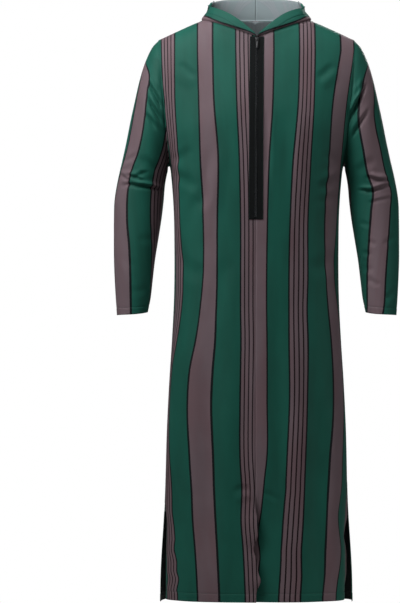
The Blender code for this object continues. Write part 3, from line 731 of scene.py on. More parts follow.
def alongLine(points, normals, facing, line):
    # Distance of every point from a line drawn on the piece, how high it lies over the line, and how the line
    # fades towards its ends
    flat = points[..., [0, 2]].copy()
    flat[normals[..., 1] * facing <= folds["least"]] = farAway
    spots = []
    for x, down in curveThrough(np.array(line) / 1000):
        away = (flat[..., 0] - x) ** 2 + (flat[..., 1] + down) ** 2
        spots.append(points[np.unravel_index(np.argmin(away), away.shape)])
    spots = np.array(spots)
    if len(spots) > 4:
        even(spots, 1)          # takes out the grid's steps
    best = np.full(points.shape[:2], farAway)
    taper, above = np.zeros(points.shape[:2]), np.zeros(points.shape[:2])
    for k, (start, end) in enumerate(zip(spots, spots[1:])):
        span = end - start
        size = max(span.dot(span), 1e-9)
        share = np.clip(((points - start) @ span) / size, 0, 1)
        offset = points - start - share[..., None] * span
        gap = np.linalg.norm(offset, axis=-1)
        place = (k + share) / (len(spots) - 1)
        closer = gap < best
        best = np.where(closer, gap, best)
        above = np.where(closer, offset[..., 2], above)
        taper = np.where(closer, ease(place / folds["fade"]) * ease((1 - place) / folds["fade"]), taper)
    return best, above, taper


def foldField(points, normals, facing, lines, kind):
    # Sum of the folds' heights at every point. A crease is a soft ridge or trough. A tuck is sharp: the cloth
    # above its line bulges and laps over the cloth underneath.
    total = np.zeros(points.shape[:2])
    for height, width, *line in lines:
        away, above, taper = alongLine(points, normals, facing, line)
        t = away * 1000 / width
        if kind == "tuck":
            t = np.where(above < 0, -t, t)
        shape = sum(high * np.exp(-((t - at) / wide) ** 2) for high, at, wide in folds[kind])
        total += height / 1000 * shape * taper
    if kind == "tuck":
        for _ in range(folds["passes"]):
            even(total, 1)
            even(total.T, 1)
    return total


def clothPiece(name, points, uvs, edges, flip, gap=None):
    # A grid shaped into one cut piece, with its print and edge coordinates, and thickened inwards. A gap is a
    # strip of the grid that closes to nothing, or opens as the neckline does.
    rows, columns = points.shape[0] - 1, points.shape[1] - 1
    bm = bmesh.new()
    bmesh.ops.create_grid(bm, x_segments=columns, y_segments=rows, size=0.5, calc_uvs=True)
    bm.verts.ensure_lookup_table()
    mesh = bpy.data.meshes.new(name)
    bm.to_mesh(mesh)
    bm.free()
    flat = np.zeros(len(mesh.vertices) * 3)
    mesh.vertices.foreach_get("co", flat)
    flat = flat.reshape(-1, 3)
    c = np.rint((flat[:, 0] + 0.5) * columns).astype(int)
    r = np.rint((flat[:, 1] + 0.5) * rows).astype(int)
    mesh.vertices.foreach_set("co", points[r, c].reshape(-1))
    corner = np.zeros(len(mesh.loops), dtype=np.int32)
    mesh.loops.foreach_get("vertex_index", corner)
    while mesh.uv_layers:
        mesh.uv_layers.remove(mesh.uv_layers[0])
    for layer, values in (("cloth", uvs), ("edge", edges)):
        made = mesh.uv_layers.new(name=layer)
        made.data.foreach_set("uv", values[r, c][corner].reshape(-1))
    if gap is not None:
        bm = bmesh.new()
        bm.from_mesh(mesh)
        bm.verts.ensure_lookup_table()
        strip = [face for face in bm.faces if all(c[v.index] in (gap, gap + 1) for v in face.verts)]
        bmesh.ops.delete(bm, geom=strip, context="FACES_ONLY")
        bmesh.ops.remove_doubles(bm, verts=bm.verts[:], dist=1e-6)
        bm.to_mesh(mesh)
        bm.free()
    if flip:
        mesh.flip_normals()
    mesh.shade_smooth()
    mesh.materials.append(printedCloth)
    mesh.materials.append(reverseCloth)
    mesh.update()
    piece = bpy.data.objects.new(name, mesh)
    bpy.context.scene.collection.objects.link(piece)
    shell = piece.modifiers.new("wall", "SOLIDIFY")
    shell.thickness = robe["wall"]
    shell.offset = -1
    shell.use_even_offset = False
    shell.material_offset = 1
    shell.material_offset_rim = 0
    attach(piece, "robe")
    return piece


def insetPath(points, normals, distance, inset):
    # The line on a piece that lies at one distance from its side edge, row by row, and the cloth's direction
    path = []
    for row, gap in zip(np.concatenate((points, normals), axis=-1), distance):
        order = np.argsort(gap)
        path.append([np.interp(inset, gap[order], row[order, k]) for k in range(6)])
    path = np.array(path)
    return path[:, :3], path[:, 3:]


def sewnEdges(points, normals, downs, edges):
    # Stitching along the hem, and beside each open edge below its top
    sewing = [(points[sewnRow], normals[sewnRow])]
    for top, distance in edges:
        below = downs > top
        sewing.append(insetPath(points[below], normals[below], distance[below], hems["narrow"]))
    return sewing


# Creases: height (below 0 a trough) and width, then the line, all in millimetres across and down as seen from
# the front or the back
frontCreases = {
    -1: (
        (-1.8, 8, (-186, 104), (-167, 124), (-145, 145)),
        (1.4, 12, (-197, 122), (-175, 147), (-148, 166)),
        (-1.7, 12, (-200, 372), (-170, 392), (-135, 402)),
        (-1.4, 11, (-204, 338), (-178, 330), (-150, 312)),
        (1.4, 12, (-203, 352), (-176, 360), (-146, 358)),
        (-1.1, 12, (-24, 150), (-32, 250), (-30, 380), (-26, 470)),
        (-2.1, 14, (-108, 294), (-119, 360), (-129, 431), (-153, 455), (-172, 552)),
        (1.8, 16, (-86, 300), (-96, 370), (-104, 440), (-122, 520)),
        (-1.7, 18, (-196, 560), (-160, 600), (-120, 620)),
        (-2, 20, (-60, 560), (-90, 640), (-100, 740)),
        (3.1, 26, (-150, 700), (-158, 860), (-160, 1050), (-168, 1250)),
        (-3.4, 22, (-120, 760), (-124, 950), (-120, 1180), (-126, 1370)),
        (2.8, 24, (-70, 820), (-66, 1000), (-72, 1200), (-64, 1390)),
        (-2.2, 18, (-36, 700), (-30, 900), (-34, 1090)),
        (-1.7, 7, (-62, 1130), (-36, 1118), (-12, 1122)),
        (1.7, 8, (-52, 1150), (-30, 1140), (-12, 1140)),
    ),
    1: (
        (-1.8, 9, (186, 108), (166, 130), (140, 150)),
        (1.3, 12, (194, 124), (172, 148), (146, 166)),
        (-2, 11, (200, 375), (172, 398), (140, 410)),
        (1.7, 11, (201, 362), (174, 376), (146, 382)),
        (-1.4, 11, (205, 342), (180, 336), (155, 320)),
        (-1.3, 13, (198, 420), (165, 436), (130, 436)),
        (-2.1, 8, (21, 205), (25, 290), (23, 410)),
        (-1.7, 18, (70, 200), (66, 300), (74, 420)),
        (1.8, 20, (104, 230), (100, 340), (108, 470)),
        (-1.7, 18, (190, 560), (160, 590), (118, 600)),
        (-2.8, 22, (50, 640), (46, 820), (52, 1010), (46, 1200)),
        (3.4, 26, (96, 720), (92, 900), (98, 1100), (92, 1380)),
        (-3.4, 22, (140, 800), (146, 1000), (140, 1200), (148, 1380)),
        (2.2, 20, (180, 900), (184, 1100), (178, 1300)),
        (-1.4, 7, (8, 1128), (30, 1136), (52, 1152)),
    ),
}
backCreases = (
    (-1.6, 16, (-150, 96), (-80, 128), (0, 140), (82, 126), (148, 92)),
    (1.4, 16, (-140, 132), (-76, 158), (2, 168), (80, 156), (140, 128)),
    (-1.2, 12, (-190, 120), (-168, 150), (-150, 190)),
    (-1.2, 12, (190, 118), (170, 152), (148, 186)),
    (-1.3, 12, (-200, 372), (-168, 396), (-130, 408)),
    (-1.3, 12, (202, 368), (172, 390), (138, 400)),
    (1, 12, (-200, 350), (-172, 366), (-140, 372)),
    (-1.8, 20, (-60, 190), (-66, 320), (-58, 480), (-64, 640)),
    (1.6, 22, (-18, 200), (-12, 340), (-20, 520), (-10, 700)),
    (-1.8, 20, (44, 210), (50, 360), (42, 540), (52, 700)),
    (-1.4, 18, (-188, 560), (-150, 590), (-100, 600)),
    (-1.4, 18, (190, 548), (150, 580), (104, 592)),
    (2.6, 28, (-140, 700), (-150, 880), (-144, 1100), (-154, 1380)),
    (-2.6, 24, (-96, 740), (-100, 920), (-92, 1140), (-98, 1390)),
    (2.6, 28, (-46, 700), (-50, 900), (-40, 1100), (-46, 1390)),
    (-2.6, 24, (4, 760), (0, 960), (8, 1160), (2, 1390)),
    (2.6, 28, (56, 720), (50, 900), (60, 1120), (54, 1390)),
    (-2.6, 24, (104, 740), (108, 960), (100, 1160), (108, 1390)),
    (2.2, 26, (152, 760), (148, 960), (158, 1160), (150, 1390)),
)


def makeFront(side):
    us = spread(grid["frontColumns"])
    closed, downs = bodyGrid(side, -1, us)
    opened = shiftCentre(openEdges(closed, side, -1, us, downs))
    flip = side < 0
    normals = gridNormals(opened, flip)
    uvs = np.stack((frontStripe(side, opened), -closed[..., 2]), axis=-1)
    fromHem, fromCentre = alongLengths(opened, 0), alongLengths(opened, 1)
    fromSide = fromCentre[:, -1:] - fromCentre
    ventTop, slitTop = openings["ventTopDown"], openings["slitTopDown"][side]
    vent = np.where(downs[:, None] > ventTop, fromCentre, 1)
    slit = np.where(downs[:, None] > slitTop, fromSide, 1)
    row = np.arange(len(opened))[:, None]
    neck = np.where(row > grid["lowerRows"] + grid["centreRows"], fromCentre, 1)
    armhole = np.where(row > grid["lowerRows"], fromSide, 1)
    height = foldField(opened, normals, -1, frontCreases[side], "crease")
    height += seams["armholeRoll"] * seamRelief(armhole, seams["reach"]) * belowShoulder(opened)
    height -= seams["neckDip"] * seamRelief(neck, seams["reach"] * seams["neckDipReach"])
    height += hemRelief(fromHem, hems["stitchLine"]) + hemRelief(np.minimum(vent, slit), hems["narrow"])
    opened += normals * height[..., None]
    edges = np.stack((np.minimum(fromHem, vent), slit), axis=-1)
    sewing = sewnEdges(opened, normals, downs, ((slitTop, fromSide), (ventTop, fromCentre)))
    name = f"front_{sides[side]}"
    piece = clothPiece(f"{name}_panel", opened, uvs, edges, flip)
    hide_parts(name)
    return opened, sewing


def makeBack():
    us = spread(grid["backColumns"] // 2)
    halves = {side: bodyGrid(side, 1, us) for side in sides}
    downs = halves[1][1]
    closed = np.concatenate((halves[-1][0][:, ::-1], halves[1][0]), axis=1)
    opened = {side: openEdges(halves[side][0], side, 1, us, downs) for side in sides}
    opened = np.concatenate((opened[-1][:, ::-1], opened[1]), axis=1)
    normals = gridNormals(opened, True)
    x, down = closed[..., 0], -closed[..., 2]
    lengths = alongLengths(closed, 1)
    across = sectionArc(x, down)
    below = ease((down - robe["armpitDown"]) / printPlace["backFade"])
    across += (lengths - lengths[:, len(us) - 1:len(us)] - across) * below
    uvs = np.stack((across + printPlace["backStart"], down), axis=-1)
    fromHem, fromRight = alongLengths(opened, 0), alongLengths(opened, 1)
    slits = ((openings["slitTopDown"][-1], fromRight),
             (openings["slitTopDown"][1], fromRight[:, -1:] - fromRight))
    slit = np.minimum(*(np.where(downs[:, None] > top, distance, 1) for top, distance in slits))
    height = foldField(opened, normals, 1, backCreases, "crease")
    height += hemRelief(fromHem, hems["stitchLine"]) + hemRelief(slit, hems["narrow"])
    opened += normals * height[..., None]
    edges = np.stack((fromHem, slit), axis=-1)
    sewing = sewnEdges(opened, normals, downs, slits)
    piece = clothPiece("back_panel", opened, uvs, edges, True, gap=len(us) - 1)
    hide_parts("back")
    return sewing


# The sleeves' sharp folds and soft ones, by side and by where they are seen from
sleeveTucks = {
    (-1, -1): (
        (7.5, 6, (-262, 146), (-253, 162), (-243, 179), (-236, 191), (-229, 203), (-224, 212)),
        (4.5, 6, (-253, 145), (-241, 162), (-232, 176), (-227, 186)),
        (6.5, 6, (-264, 186), (-252, 203), (-242, 219), (-232, 235), (-221, 250)),
        (4, 7, (-268, 224), (-255, 238), (-246, 250), (-236, 262)),
        (1.2, 7, (-318, 338), (-306, 334), (-296, 326), (-288, 318)),
        (3.6, 5, (-331, 366), (-320, 375), (-311, 382), (-303, 385), (-296, 386)),
        (3, 4.5, (-322, 364), (-311, 372), (-301, 377), (-289, 379), (-277, 384), (-262, 388)),
        (2.2, 5, (-304, 378), (-293, 376), (-284, 373), (-272, 367), (-256, 361)),
        (4.6, 6, (-334, 399), (-318, 395), (-306, 393), (-294, 396), (-277, 399), (-263, 401),
         (-251, 403), (-236, 406), (-220, 406)),
    ),
    (-1, 1): (
        (2.2, 7, (-262, 150), (-244, 172), (-224, 196)),
        (3, 6, (-330, 372), (-306, 384), (-270, 388), (-236, 380)),
        (4, 6, (-334, 400), (-304, 412), (-262, 416), (-230, 410)),
    ),
    (1, -1): (
        (9, 6, (264, 155), (258, 164), (251, 176), (244, 191), (237, 203), (230, 217), (222, 231),
         (217, 246)),
        (5, 5, (255, 152), (251, 157), (244, 167), (237, 176), (228, 185)),
        (3.5, 7, (270, 212), (252, 238), (236, 262), (222, 288)),
        (4, 5, (262, 372), (268, 377), (279, 382), (290, 385), (309, 385), (324, 381)),
        (4.6, 5.5, (238, 408), (256, 409), (271, 411), (285, 407), (299, 401), (314, 396), (330, 390)),
        (1.5, 5, (268, 440), (273, 438), (295, 432), (316, 427), (326, 425)),
    ),
    (1, 1): (
        (2.2, 7, (262, 150), (244, 172), (226, 196)),
        (3, 6, (330, 374), (304, 388), (268, 390), (238, 380)),
        (3.8, 6, (334, 402), (304, 414), (262, 418), (236, 412)),
    ),
}
sleeveCreases = {
    (-1, -1): (
        (-1.2, 12, (-286, 190), (-280, 240), (-284, 300)),
        (1.3, 9, (-322, 352), (-311, 346), (-298, 336)),
        (-1.6, 10, (-232, 372), (-258, 350), (-288, 330)),
        (-0.8, 9, (-240, 520), (-262, 528), (-288, 524)),
        (-0.8, 10, (-334, 560), (-312, 584), (-286, 596)),
        (-0.7, 9, (-258, 640), (-280, 652), (-306, 650)),
    ),
    (-1, 1): (
        (-1.3, 10, (-280, 230), (-262, 262), (-250, 300)),
        (-1.3, 10, (-332, 470), (-304, 486), (-272, 488)),
        (-1.2, 10, (-330, 580), (-306, 596), (-278, 600)),
    ),
    (1, -1): (
        (-1.2, 12, (288, 200), (282, 250), (290, 310)),
        (1.6, 6, (268, 368), (280, 374), (294, 377), (312, 377)),
        (-1.6, 10, (236, 372), (258, 352), (286, 336)),
        (-1.2, 6, (246, 486), (258, 492), (272, 493)),
        (-1.3, 6, (264, 530), (275, 537), (288, 540)),
        (-1.2, 6, (250, 556), (262, 562), (278, 562)),
        (-1.3, 7, (336, 520), (316, 530), (300, 548)),
        (-1, 7, (252, 596), (266, 600), (282, 596)),
        (-1.4, 7, (262, 622), (278, 631), (294, 641)),
        (-1.6, 7, (303, 674), (318, 662), (333, 645)),
    ),
    (1, 1): (
        (-1.3, 10, (334, 478), (306, 492), (272, 490)),
        (-1.3, 9, (330, 560), (306, 574), (278, 578)),
        (-1.2, 9, (328, 640), (304, 652), (280, 650)),
    ),
}


def makeSleeve(side):
    fromCuff = fromHemRows(robe["sleeveLength"], grid["sleeveRings"])
    fromCuff = np.sort(np.append(fromCuff[:-2], robe["sleeveLength"] - np.array(seams["rows"])))[::-1]
    rings = (1 - fromCuff / robe["sleeveLength"]) * (len(sleeveRings["outerX"]) - 1)
    angles = np.linspace(0, math.tau, grid["sleeveAround"] + 1)
    points = sleeveRing(side, rings[:, None], angles[None, :])
    hang = (robe["cuffTilt"] * (1 + np.cos(angles)) / 2
            - robe["cuffSag"] * np.sin(angles) ** 2 * np.cos(angles / 2) ** 2)
    points[..., 2] += ease(1 - fromCuff / robe["cuffReach"])[:, None] * hang[None, :]
    flip = side > 0
    normals = gridNormals(points, flip)
    seam = normals[:, 0] + normals[:, -1]
    normals[:, 0] = normals[:, -1] = seam / np.linalg.norm(seam, axis=-1)[..., None]
    height = np.zeros(points.shape[:2])
    for facing in (-1, 1):
        height += foldField(points, normals, facing, sleeveCreases[side, facing], "crease")
        height += foldField(points, normals, facing, sleeveTucks[side, facing], "tuck")
    height[:, 0] = height[:, -1] = (height[:, 0] + height[:, -1]) / 2
    sunk = seams["armholeDip"] * seamRelief(alongLengths(points, 0), seams["reach"])
    height -= sunk * belowShoulder(points[:1])
    height += hemRelief(fromCuff, hems["stitchLine"])[:, None]
    across = sleeveStripe(side, points)
    points = points + normals * height[..., None]
    along = alongLengths(points, 0)
    uvs = np.stack((across, along), axis=-1)
    edges = np.stack((along[-1:] - along, 1 + 0 * along), axis=-1)
    sewn = len(points) - 1 - sewnRow
    name = f"sleeve_{sides[side]}"
    piece = clothPiece(f"{name}_tube", points, uvs, edges, flip)
    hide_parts(name)
    return points[sewn], normals[sewn]


# The hood's cloth at each turn around the neck, from the neckline over its roll, down the hang to the foot
# of the pouch, and up to the edge of the face opening
hoodPath = table(
    ("turn", "rollX", "rollY", "rollZ", "hangX", "hangY", "hangZ", "footX", "footY", "footZ",
     "edgeX", "edgeY", "edgeZ"), (
    (0, 0.0012, -0.0742, -0.0412, 0.0024, -0.0742, -0.0388, 0.0036, -0.0741, -0.0364, 0.0048, -0.074, -0.034),
    (30, 0.062, -0.064, -0.0145, 0.059, -0.063, -0.008, 0.0555, -0.061, -0.0018, 0.052, -0.058, 0.004),
    (60, 0.109, -0.0345, 0.0055, 0.1045, -0.0335, 0.015, 0.1, -0.03, 0.0235, 0.0955, -0.026, 0.031),
    (74, 0.1195, -0.017, 0.01, 0.113, -0.0155, 0.02, 0.1075, -0.013, 0.0295, 0.1035, -0.01, 0.037),
    (88, 0.124, 0.001, 0.014, 0.115, 0.004, 0.027, 0.111, 0.008, 0.037, 0.113, 0.012, 0.043),
    (98, 0.118, 0.017, 0.022, 0.107, 0.022, 0.041, 0.108, 0.029, 0.047, 0.113, 0.036, 0.04),
    (106, 0.111, 0.032, 0.03, 0.101, 0.042, 0.05, 0.11, 0.053, 0.045, 0.119, 0.062, 0.018),
    (116, 0.104, 0.052, 0.04, 0.103, 0.072, 0.052, 0.118, 0.089, 0.026, 0.13, 0.098, -0.004),
    (124, 0.097, 0.066, 0.049, 0.105, 0.095, 0.038, 0.127, 0.113, -0.024, 0.14, 0.123, -0.026),
    (134, 0.087, 0.08, 0.054, 0.101, 0.115, 0.008, 0.12, 0.137, -0.1, 0.128, 0.149, -0.036),
    (142, 0.077, 0.088, 0.056, 0.093, 0.122, -0.015, 0.106, 0.147, -0.155, 0.107, 0.164, -0.03),
    (160, 0.044, 0.099, 0.058, 0.056, 0.133, -0.045, 0.06, 0.16, -0.22, 0.058, 0.183, -0.038),
    (180, 0, 0.104, 0.059, 0, 0.138, -0.055, 0, 0.165, -0.245, 0, 0.191, -0.042),
))
hoodCorner = {"turn": 84, "reach": 50, -1: (0.004, -0.006), 1: (0.005, -0.009)}

# Metres across the repeat: the green stripe's border runs along the neck seam, and turns to run along the
# edge of the face opening further back
hoodPrint = {
    "border": 0.130, "seamGap": 0.0045, "cornerGap": 0.0060, "cornerTurn": 40, "cornerFade": 35,
    "atEdge": 0.158, "edgeTurn": 60, "edgeFade": 40,        # turns in degrees
}


def makeHood(side):
    turns = np.linspace(0, 180, grid["hoodTurns"] + 1)
    neck = np.where((turns <= 90)[:, None], neckPoint(side, -1, np.radians(turns)),
                    neckPoint(side, 1, np.radians(180 - turns)))
    row = {name: read(hoodPath, name, turns) for name in hoodPath}
    stations = [neck] + [np.stack((side * row[k + "X"], row[k + "Y"], row[k + "Z"]), axis=-1)
                         for k in ("roll", "hang", "foot", "edge")]
    lean = ease(1 - np.abs(turns - hoodCorner["turn"]) / hoodCorner["reach"])
    knots = np.linspace(0, 1, len(stations))
    stations = np.array(stations)
    stations[..., 0] += side * knots[:, None] * lean * hoodCorner[side][0]
    stations[..., 2] += knots[:, None] * lean * hoodCorner[side][1]
    fine = spread(grid["hoodStations"], grid["hoodCrowding"])
    points = np.stack([np.stack([smooth(knots, stations[:, c, axis], fine) for axis in range(3)], axis=-1)
                       for c in range(len(turns))])
    flip = side > 0
    normals = gridNormals(points, flip)
    fromNeck = alongLengths(points, 1)
    fromEdge = fromNeck[:, -1:] - fromNeck
    low = 1 - ease((turns - hoodPrint["edgeTurn"]) / hoodPrint["edgeFade"])[:, None]
    corner = ease((turns - hoodPrint["cornerTurn"]) / hoodPrint["cornerFade"])[:, None]
    seamGap = hoodPrint["seamGap"] + hoodPrint["cornerGap"] * corner
    across = (low * (hoodPrint["border"] + fromNeck - seamGap)
              + (1 - low) * (hoodPrint["atEdge"] - fromEdge))
    uvs = np.stack((across, alongLengths(points, 0)), axis=-1)
    edges = np.stack((fromEdge, 1 + 0 * fromEdge), axis=-1)
    height = hemRelief(fromEdge, hems["stitchLine"])
    height += seams["neckRoll"] * seamRelief(fromNeck, seams["reach"] * seams["neckRollReach"])
    points = points + normals * height[..., None]
    name = f"hood_{sides[side]}"
    piece = clothPiece(f"{name}_half", points, uvs, edges, flip)
    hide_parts(name)
    return insetPath(points[:-1], normals[:-1], fromEdge[:-1], hems["stitchLine"])


fronts = {side: makeFront(side) for side in sides}
backSewing = makeBack()
print("body made")
sleeveSewing = [makeSleeve(side) for side in sides]
hoodSewing = [makeHood(side) for side in sides]
print("sleeves and hood made")


zipper = {
    "top": 0.044,
    "bottom": 0.482,
    "tapeWidth": 0.0168,        # of one side
    "tapeThick": 0.0007,
    "tapeLift": 0.0006,         # over the cloth beneath it
    "tapeGap": 0.00015,         # from the middle to each tape
    "tapePasses": 6,            # it lies more evenly than the cloth
    # painted shade in the ribs' grooves and painted light on their crests
    "tapeShadeAndLight": ("#050708", "#0d1112"),
    "herringbone": 0.0028,      # half of the zigzag
    "ribSpacing": 0.0011,
    "ribDepth": 0.0002,
    "toothPitch": 0.0014,
    "toothReach": 0.0029,       # from the middle outwards
    "toothThick": 0.0010,
    "toothSize": (1.35, 1.0, 0.44),     # for the reach, the thickness and the pitch
    "toothPlace": (0.42, 0.35, 0.25),   # likewise: outwards, forwards, and to and fro along the zip
    "coilTop": 0.0500,
    "coilColours": ("#1c1f22", "#34393d"),
    "plainEnd": 0.0040,         # tape without teeth at the lower end
    "probe": 0.004,             # beside the middle, where the fronts' depth is taken
    "coilGrain": 900.0,         # 1.1 mm
    "enamelColours": ("#15171a", "#5c5f62"),    # whole, and rubbed off
    "wearGrain": 1500.0,        # 0.7 mm
    "wearGrainShare": 0.16,
    "wearRange": (0.66, 0.74),  # how pointed an edge has to be
    "rounding": 0.00022,        # of the metal's edges
    "flatAngle": 2,             # degrees between faces that are one
    "sharpAngle": 35,           # and between those whose edge is rounded
}
topStops = {"size": (0.0022, 0.0016, 0.0030), "out": 0.0018, "down": 0.0016, "forward": 0.0006,
            "bevel": 0.0004, "probeDown": 0.002}


def zipTapeWeave():
    # Polyester tape woven in a herringbone, dyed black: matt, with fine slanting ribs, painted lighter on
    # their crests and darker in their grooves, as light and shade
    made, shader = newMaterial("woven zip tape")
    _, x, y = clothCoordinates(made)
    zigzag = addNode(made, "Math", {0: x, 1: zipper["herringbone"]}, operation="PINGPONG")
    slant = addNode(made, "Math", {0: zigzag, 1: y}, operation="ADD")
    ribs = addNode(made, "Math", {0: slant, 1: math.tau / zipper["ribSpacing"]}, operation="MULTIPLY")
    wave = addNode(made, "Math", {0: ribs}, operation="SINE")
    lit = addNode(made, "MapRange", {"Value": wave, "From Min": -1.0})
    dark, light = map(linear, zipper["tapeShadeAndLight"])
    colour = addNode(made, "Mix", {0: lit, 6: dark, 7: light}, gives=2, data_type="RGBA")
    bump = addNode(made, "Bump", {"Height": wave, "Strength": 0.5, "Distance": zipper["ribDepth"]})
    setInputs(made, shader, {"Base Color": colour, "Normal": bump, "Roughness": 0.8,
                             "Specular IOR Level": 0.15, "Sheen Weight": 0.02})
    return made


def nylonCoil():
    # Moulded nylon: smoother than the tape, so a line of small lights runs down it
    made, shader = newMaterial("nylon zip coil")
    place = addNode(made, "TexCoord", gives="Object")
    grain = addNode(made, "TexNoise", {"Vector": place, "Scale": zipper["coilGrain"]})
    dark, light = map(linear, zipper["coilColours"])
    colour = addNode(made, "Mix", {0: grain, 6: dark, 7: light}, gives=2, data_type="RGBA")
    setInputs(made, shader, {"Base Color": colour, "Roughness": 0.38})
    return made


def enamelledZinc():
    # Die-cast zinc under black enamel, rubbed bright along its edges
    made, shader = newMaterial("black enamelled zinc")
    edge = addNode(made, "NewGeometry", gives="Pointiness")
    place = addNode(made, "TexCoord", gives="Object")
    grain = addNode(made, "TexNoise", {"Vector": place, "Scale": zipper["wearGrain"], "Detail": 3.0})
    broken = addNode(made, "Math", {0: grain, 1: zipper["wearGrainShare"], 2: edge}, operation="MULTIPLY_ADD")
    least, most = zipper["wearRange"]
    worn = addNode(made, "MapRange", {"Value": broken, "From Min": least, "From Max": most})
    enamel, metal = map(linear, zipper["enamelColours"])
    colour = addNode(made, "Mix", {0: worn, 6: enamel, 7: metal}, gives=2, data_type="RGBA")
    setInputs(made, shader, {"Base Color": colour, "Metallic": worn, "Roughness": 0.42,
                             "Specular IOR Level": 0.3})
    return made


def pieceFrom(name, bm, material, body):
    mesh = bpy.data.meshes.new(name)
    bm.to_mesh(mesh)
    bm.free()
    mesh.materials.append(material)
    piece = bpy.data.objects.new(name, mesh)
    bpy.context.scene.collection.objects.link(piece)
    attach(piece, body)
    return piece


def gridTree(surfaces):
    # The fronts' outer faces, to lay the zip on
    trees = {}
    for side, points in surfaces.items():
        rows, columns = points.shape[:2]
        faces = [(r * columns + c, r * columns + c + 1, (r + 1) * columns + c + 1, (r + 1) * columns + c)
                 for r in range(rows - 1) for c in range(columns - 1)]
        trees[side] = BVHTree.FromPolygons([tuple(p) for p in points.reshape(-1, 3)], faces)
    return trees


def onFront(trees, side, x, down):
    hit = trees[side].ray_cast((x, -1, -down), (0, 1, 0))
    return None if hit[0] is None else hit[0].y


def zipPlace(trees, down):
    # Where the middle of the zip's face lies at a height: across and in depth
    drift = float(read(centreDrift, "x", np.array(down)))
    depths = [onFront(trees, side, drift + side * zipper["probe"], down) for side in sides]
    return drift, min(d for d in depths if d is not None) - zipper["tapeLift"] - zipper["tapeThick"]


def makeTape(side, trees, zipTape):
    rows, columns = grid["tapeRows"], grid["tapeColumns"]
    downs = np.linspace(zipper["top"], zipper["bottom"], rows + 1)
    points = np.zeros((rows + 1, columns + 1, 3))
    for r, down in enumerate(downs):
        drift, _ = zipPlace(trees, down)
        for c in range(columns + 1):
            x = drift + side * (zipper["tapeGap"] + zipper["tapeWidth"] * c / columns)
            y = onFront(trees, side, x, down) or onFront(trees, -side, x, down)
            points[r, c] = (x, y - zipper["tapeLift"] - zipper["tapeThick"], -down)
    even(points[..., 1], zipper["tapePasses"])
    reach = np.linspace(0, zipper["tapeWidth"], columns + 1)[None, :] + 0 * downs[:, None]
    uvs = np.stack((reach, downs[:, None] + 0 * reach), axis=-1)
    name = f"zip_tape_{sides[side]}"
    piece = clothPiece(f"{name}_strip", points[::-1], uvs[::-1], uvs[::-1], side < 0)
    piece.modifiers["wall"].thickness = zipper["tapeThick"]
    piece.modifiers["wall"].material_offset = 0
    piece.data.materials.clear()
    piece.data.materials.append(zipTape)
    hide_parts(name)
    return points[:, -2], np.tile((0.0, -1.0, 0.0), (rows + 1, 1))      # stitched beside its outer edge


def repeated(name, single, places, material):
    # One small shape repeated at many places, given as matrices
    seed = bpy.data.meshes.new("seed")
    single.to_mesh(seed)
    single.free()
    bm = bmesh.new()
    for place in places:
        seed.transform(place)
        bm.from_mesh(seed)
        seed.transform(place.inverted())
    bpy.data.meshes.remove(seed)
    piece = pieceFrom(name, bm, material, "robe")
    piece.data.shade_smooth()
    return piece


def makeCoil(trees):
    # Two rows of teeth that lie between each other
    pitch = zipper["toothPitch"]
    long, thick, high = zipper["toothSize"]
    outwards, forwards, along = zipper["toothPlace"]
    tooth = bmesh.new()
    bmesh.ops.create_uvsphere(tooth, u_segments=6, v_segments=4, radius=0.5)
    bmesh.ops.scale(tooth, vec=(zipper["toothReach"] * long, zipper["toothThick"] * thick, pitch * high),
                    verts=tooth.verts)
    places = []
    for k in range(int((zipper["bottom"] - zipper["plainEnd"] - zipper["coilTop"]) / pitch)):
        for side in sides:
            down = zipper["coilTop"] + (k + side * along) * pitch
            drift, depth = zipPlace(trees, down)
            middle = drift + side * zipper["toothReach"] * outwards
            places.append(Matrix.Translation((middle, depth - zipper["toothThick"] * forwards, -down)))
    repeated("zip_coil", tooth, places, nylonCoil())


def metalCopy(name, newName, material, body):
    # The node's own mesh, with its loose triangles joined and its edges rounded
    bm = bmesh.new()
    bm.from_mesh(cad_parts[name].data)
    bmesh.ops.remove_doubles(bm, verts=bm.verts[:], dist=1e-6)
    flat = math.radians(zipper["flatAngle"])
    bmesh.ops.dissolve_limit(bm, angle_limit=flat, verts=bm.verts[:], edges=bm.edges[:])
    piece = pieceFrom(newName, bm, material, body)
    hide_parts(name)
    rounding = piece.modifiers.new("rounding", "BEVEL")
    rounding.width = zipper["rounding"]
    rounding.segments = 3
    rounding.limit_method = "ANGLE"
    rounding.angle_limit = math.radians(zipper["sharpAngle"])
    piece.data.shade_smooth()


def makeStops(trees, material):
    # Two crimped stops above the slider
    bm = bmesh.new()
    drift, depth = zipPlace(trees, zipper["top"] + topStops["probeDown"])
    for side in sides:
        stop = bmesh.ops.create_cube(bm, size=1)["verts"]
        bmesh.ops.scale(bm, vec=topStops["size"], verts=stop)
        bmesh.ops.translate(bm, verts=stop, vec=(drift + side * topStops["out"], depth - topStops["forward"],
                                                 -zipper["top"] - topStops["down"]))
    bmesh.ops.bevel(bm, geom=bm.edges[:], offset=topStops["bevel"], segments=2, profile=0.5, affect="EDGES",
                    material=-1)
    pieceFrom("zip_top_stops", bm, material, "robe")


sewingThread = {
    "length": 0.0026,
    "step": 0.0034,
    "thick": 0.0005,
    "proud": 0.15,              # of its thickness, from the cloth's face to its middle
    "colours": ("#1b3a35", "#31564f"),
    "twistScale": 700.0,        # a ply every 0.5 mm
}


def spunThread():
    # Spun polyester: matt, with its two plies twisted round each other
    made, shader = newMaterial("spun polyester thread")
    place = addNode(made, "TexCoord", gives="Object")
    plies = addNode(made, "TexWave", {"Vector": place, "Scale": sewingThread["twistScale"]}, gives="Fac",
                    bands_direction="DIAGONAL")
    dark, light = map(linear, sewingThread["colours"])
    colour = addNode(made, "Mix", {0: plies, 6: dark, 7: light}, gives=2, data_type="RGBA")
    setInputs(made, shader, {"Base Color": colour, "Roughness": 0.8, "Specular IOR Level": 0.2})
    return made


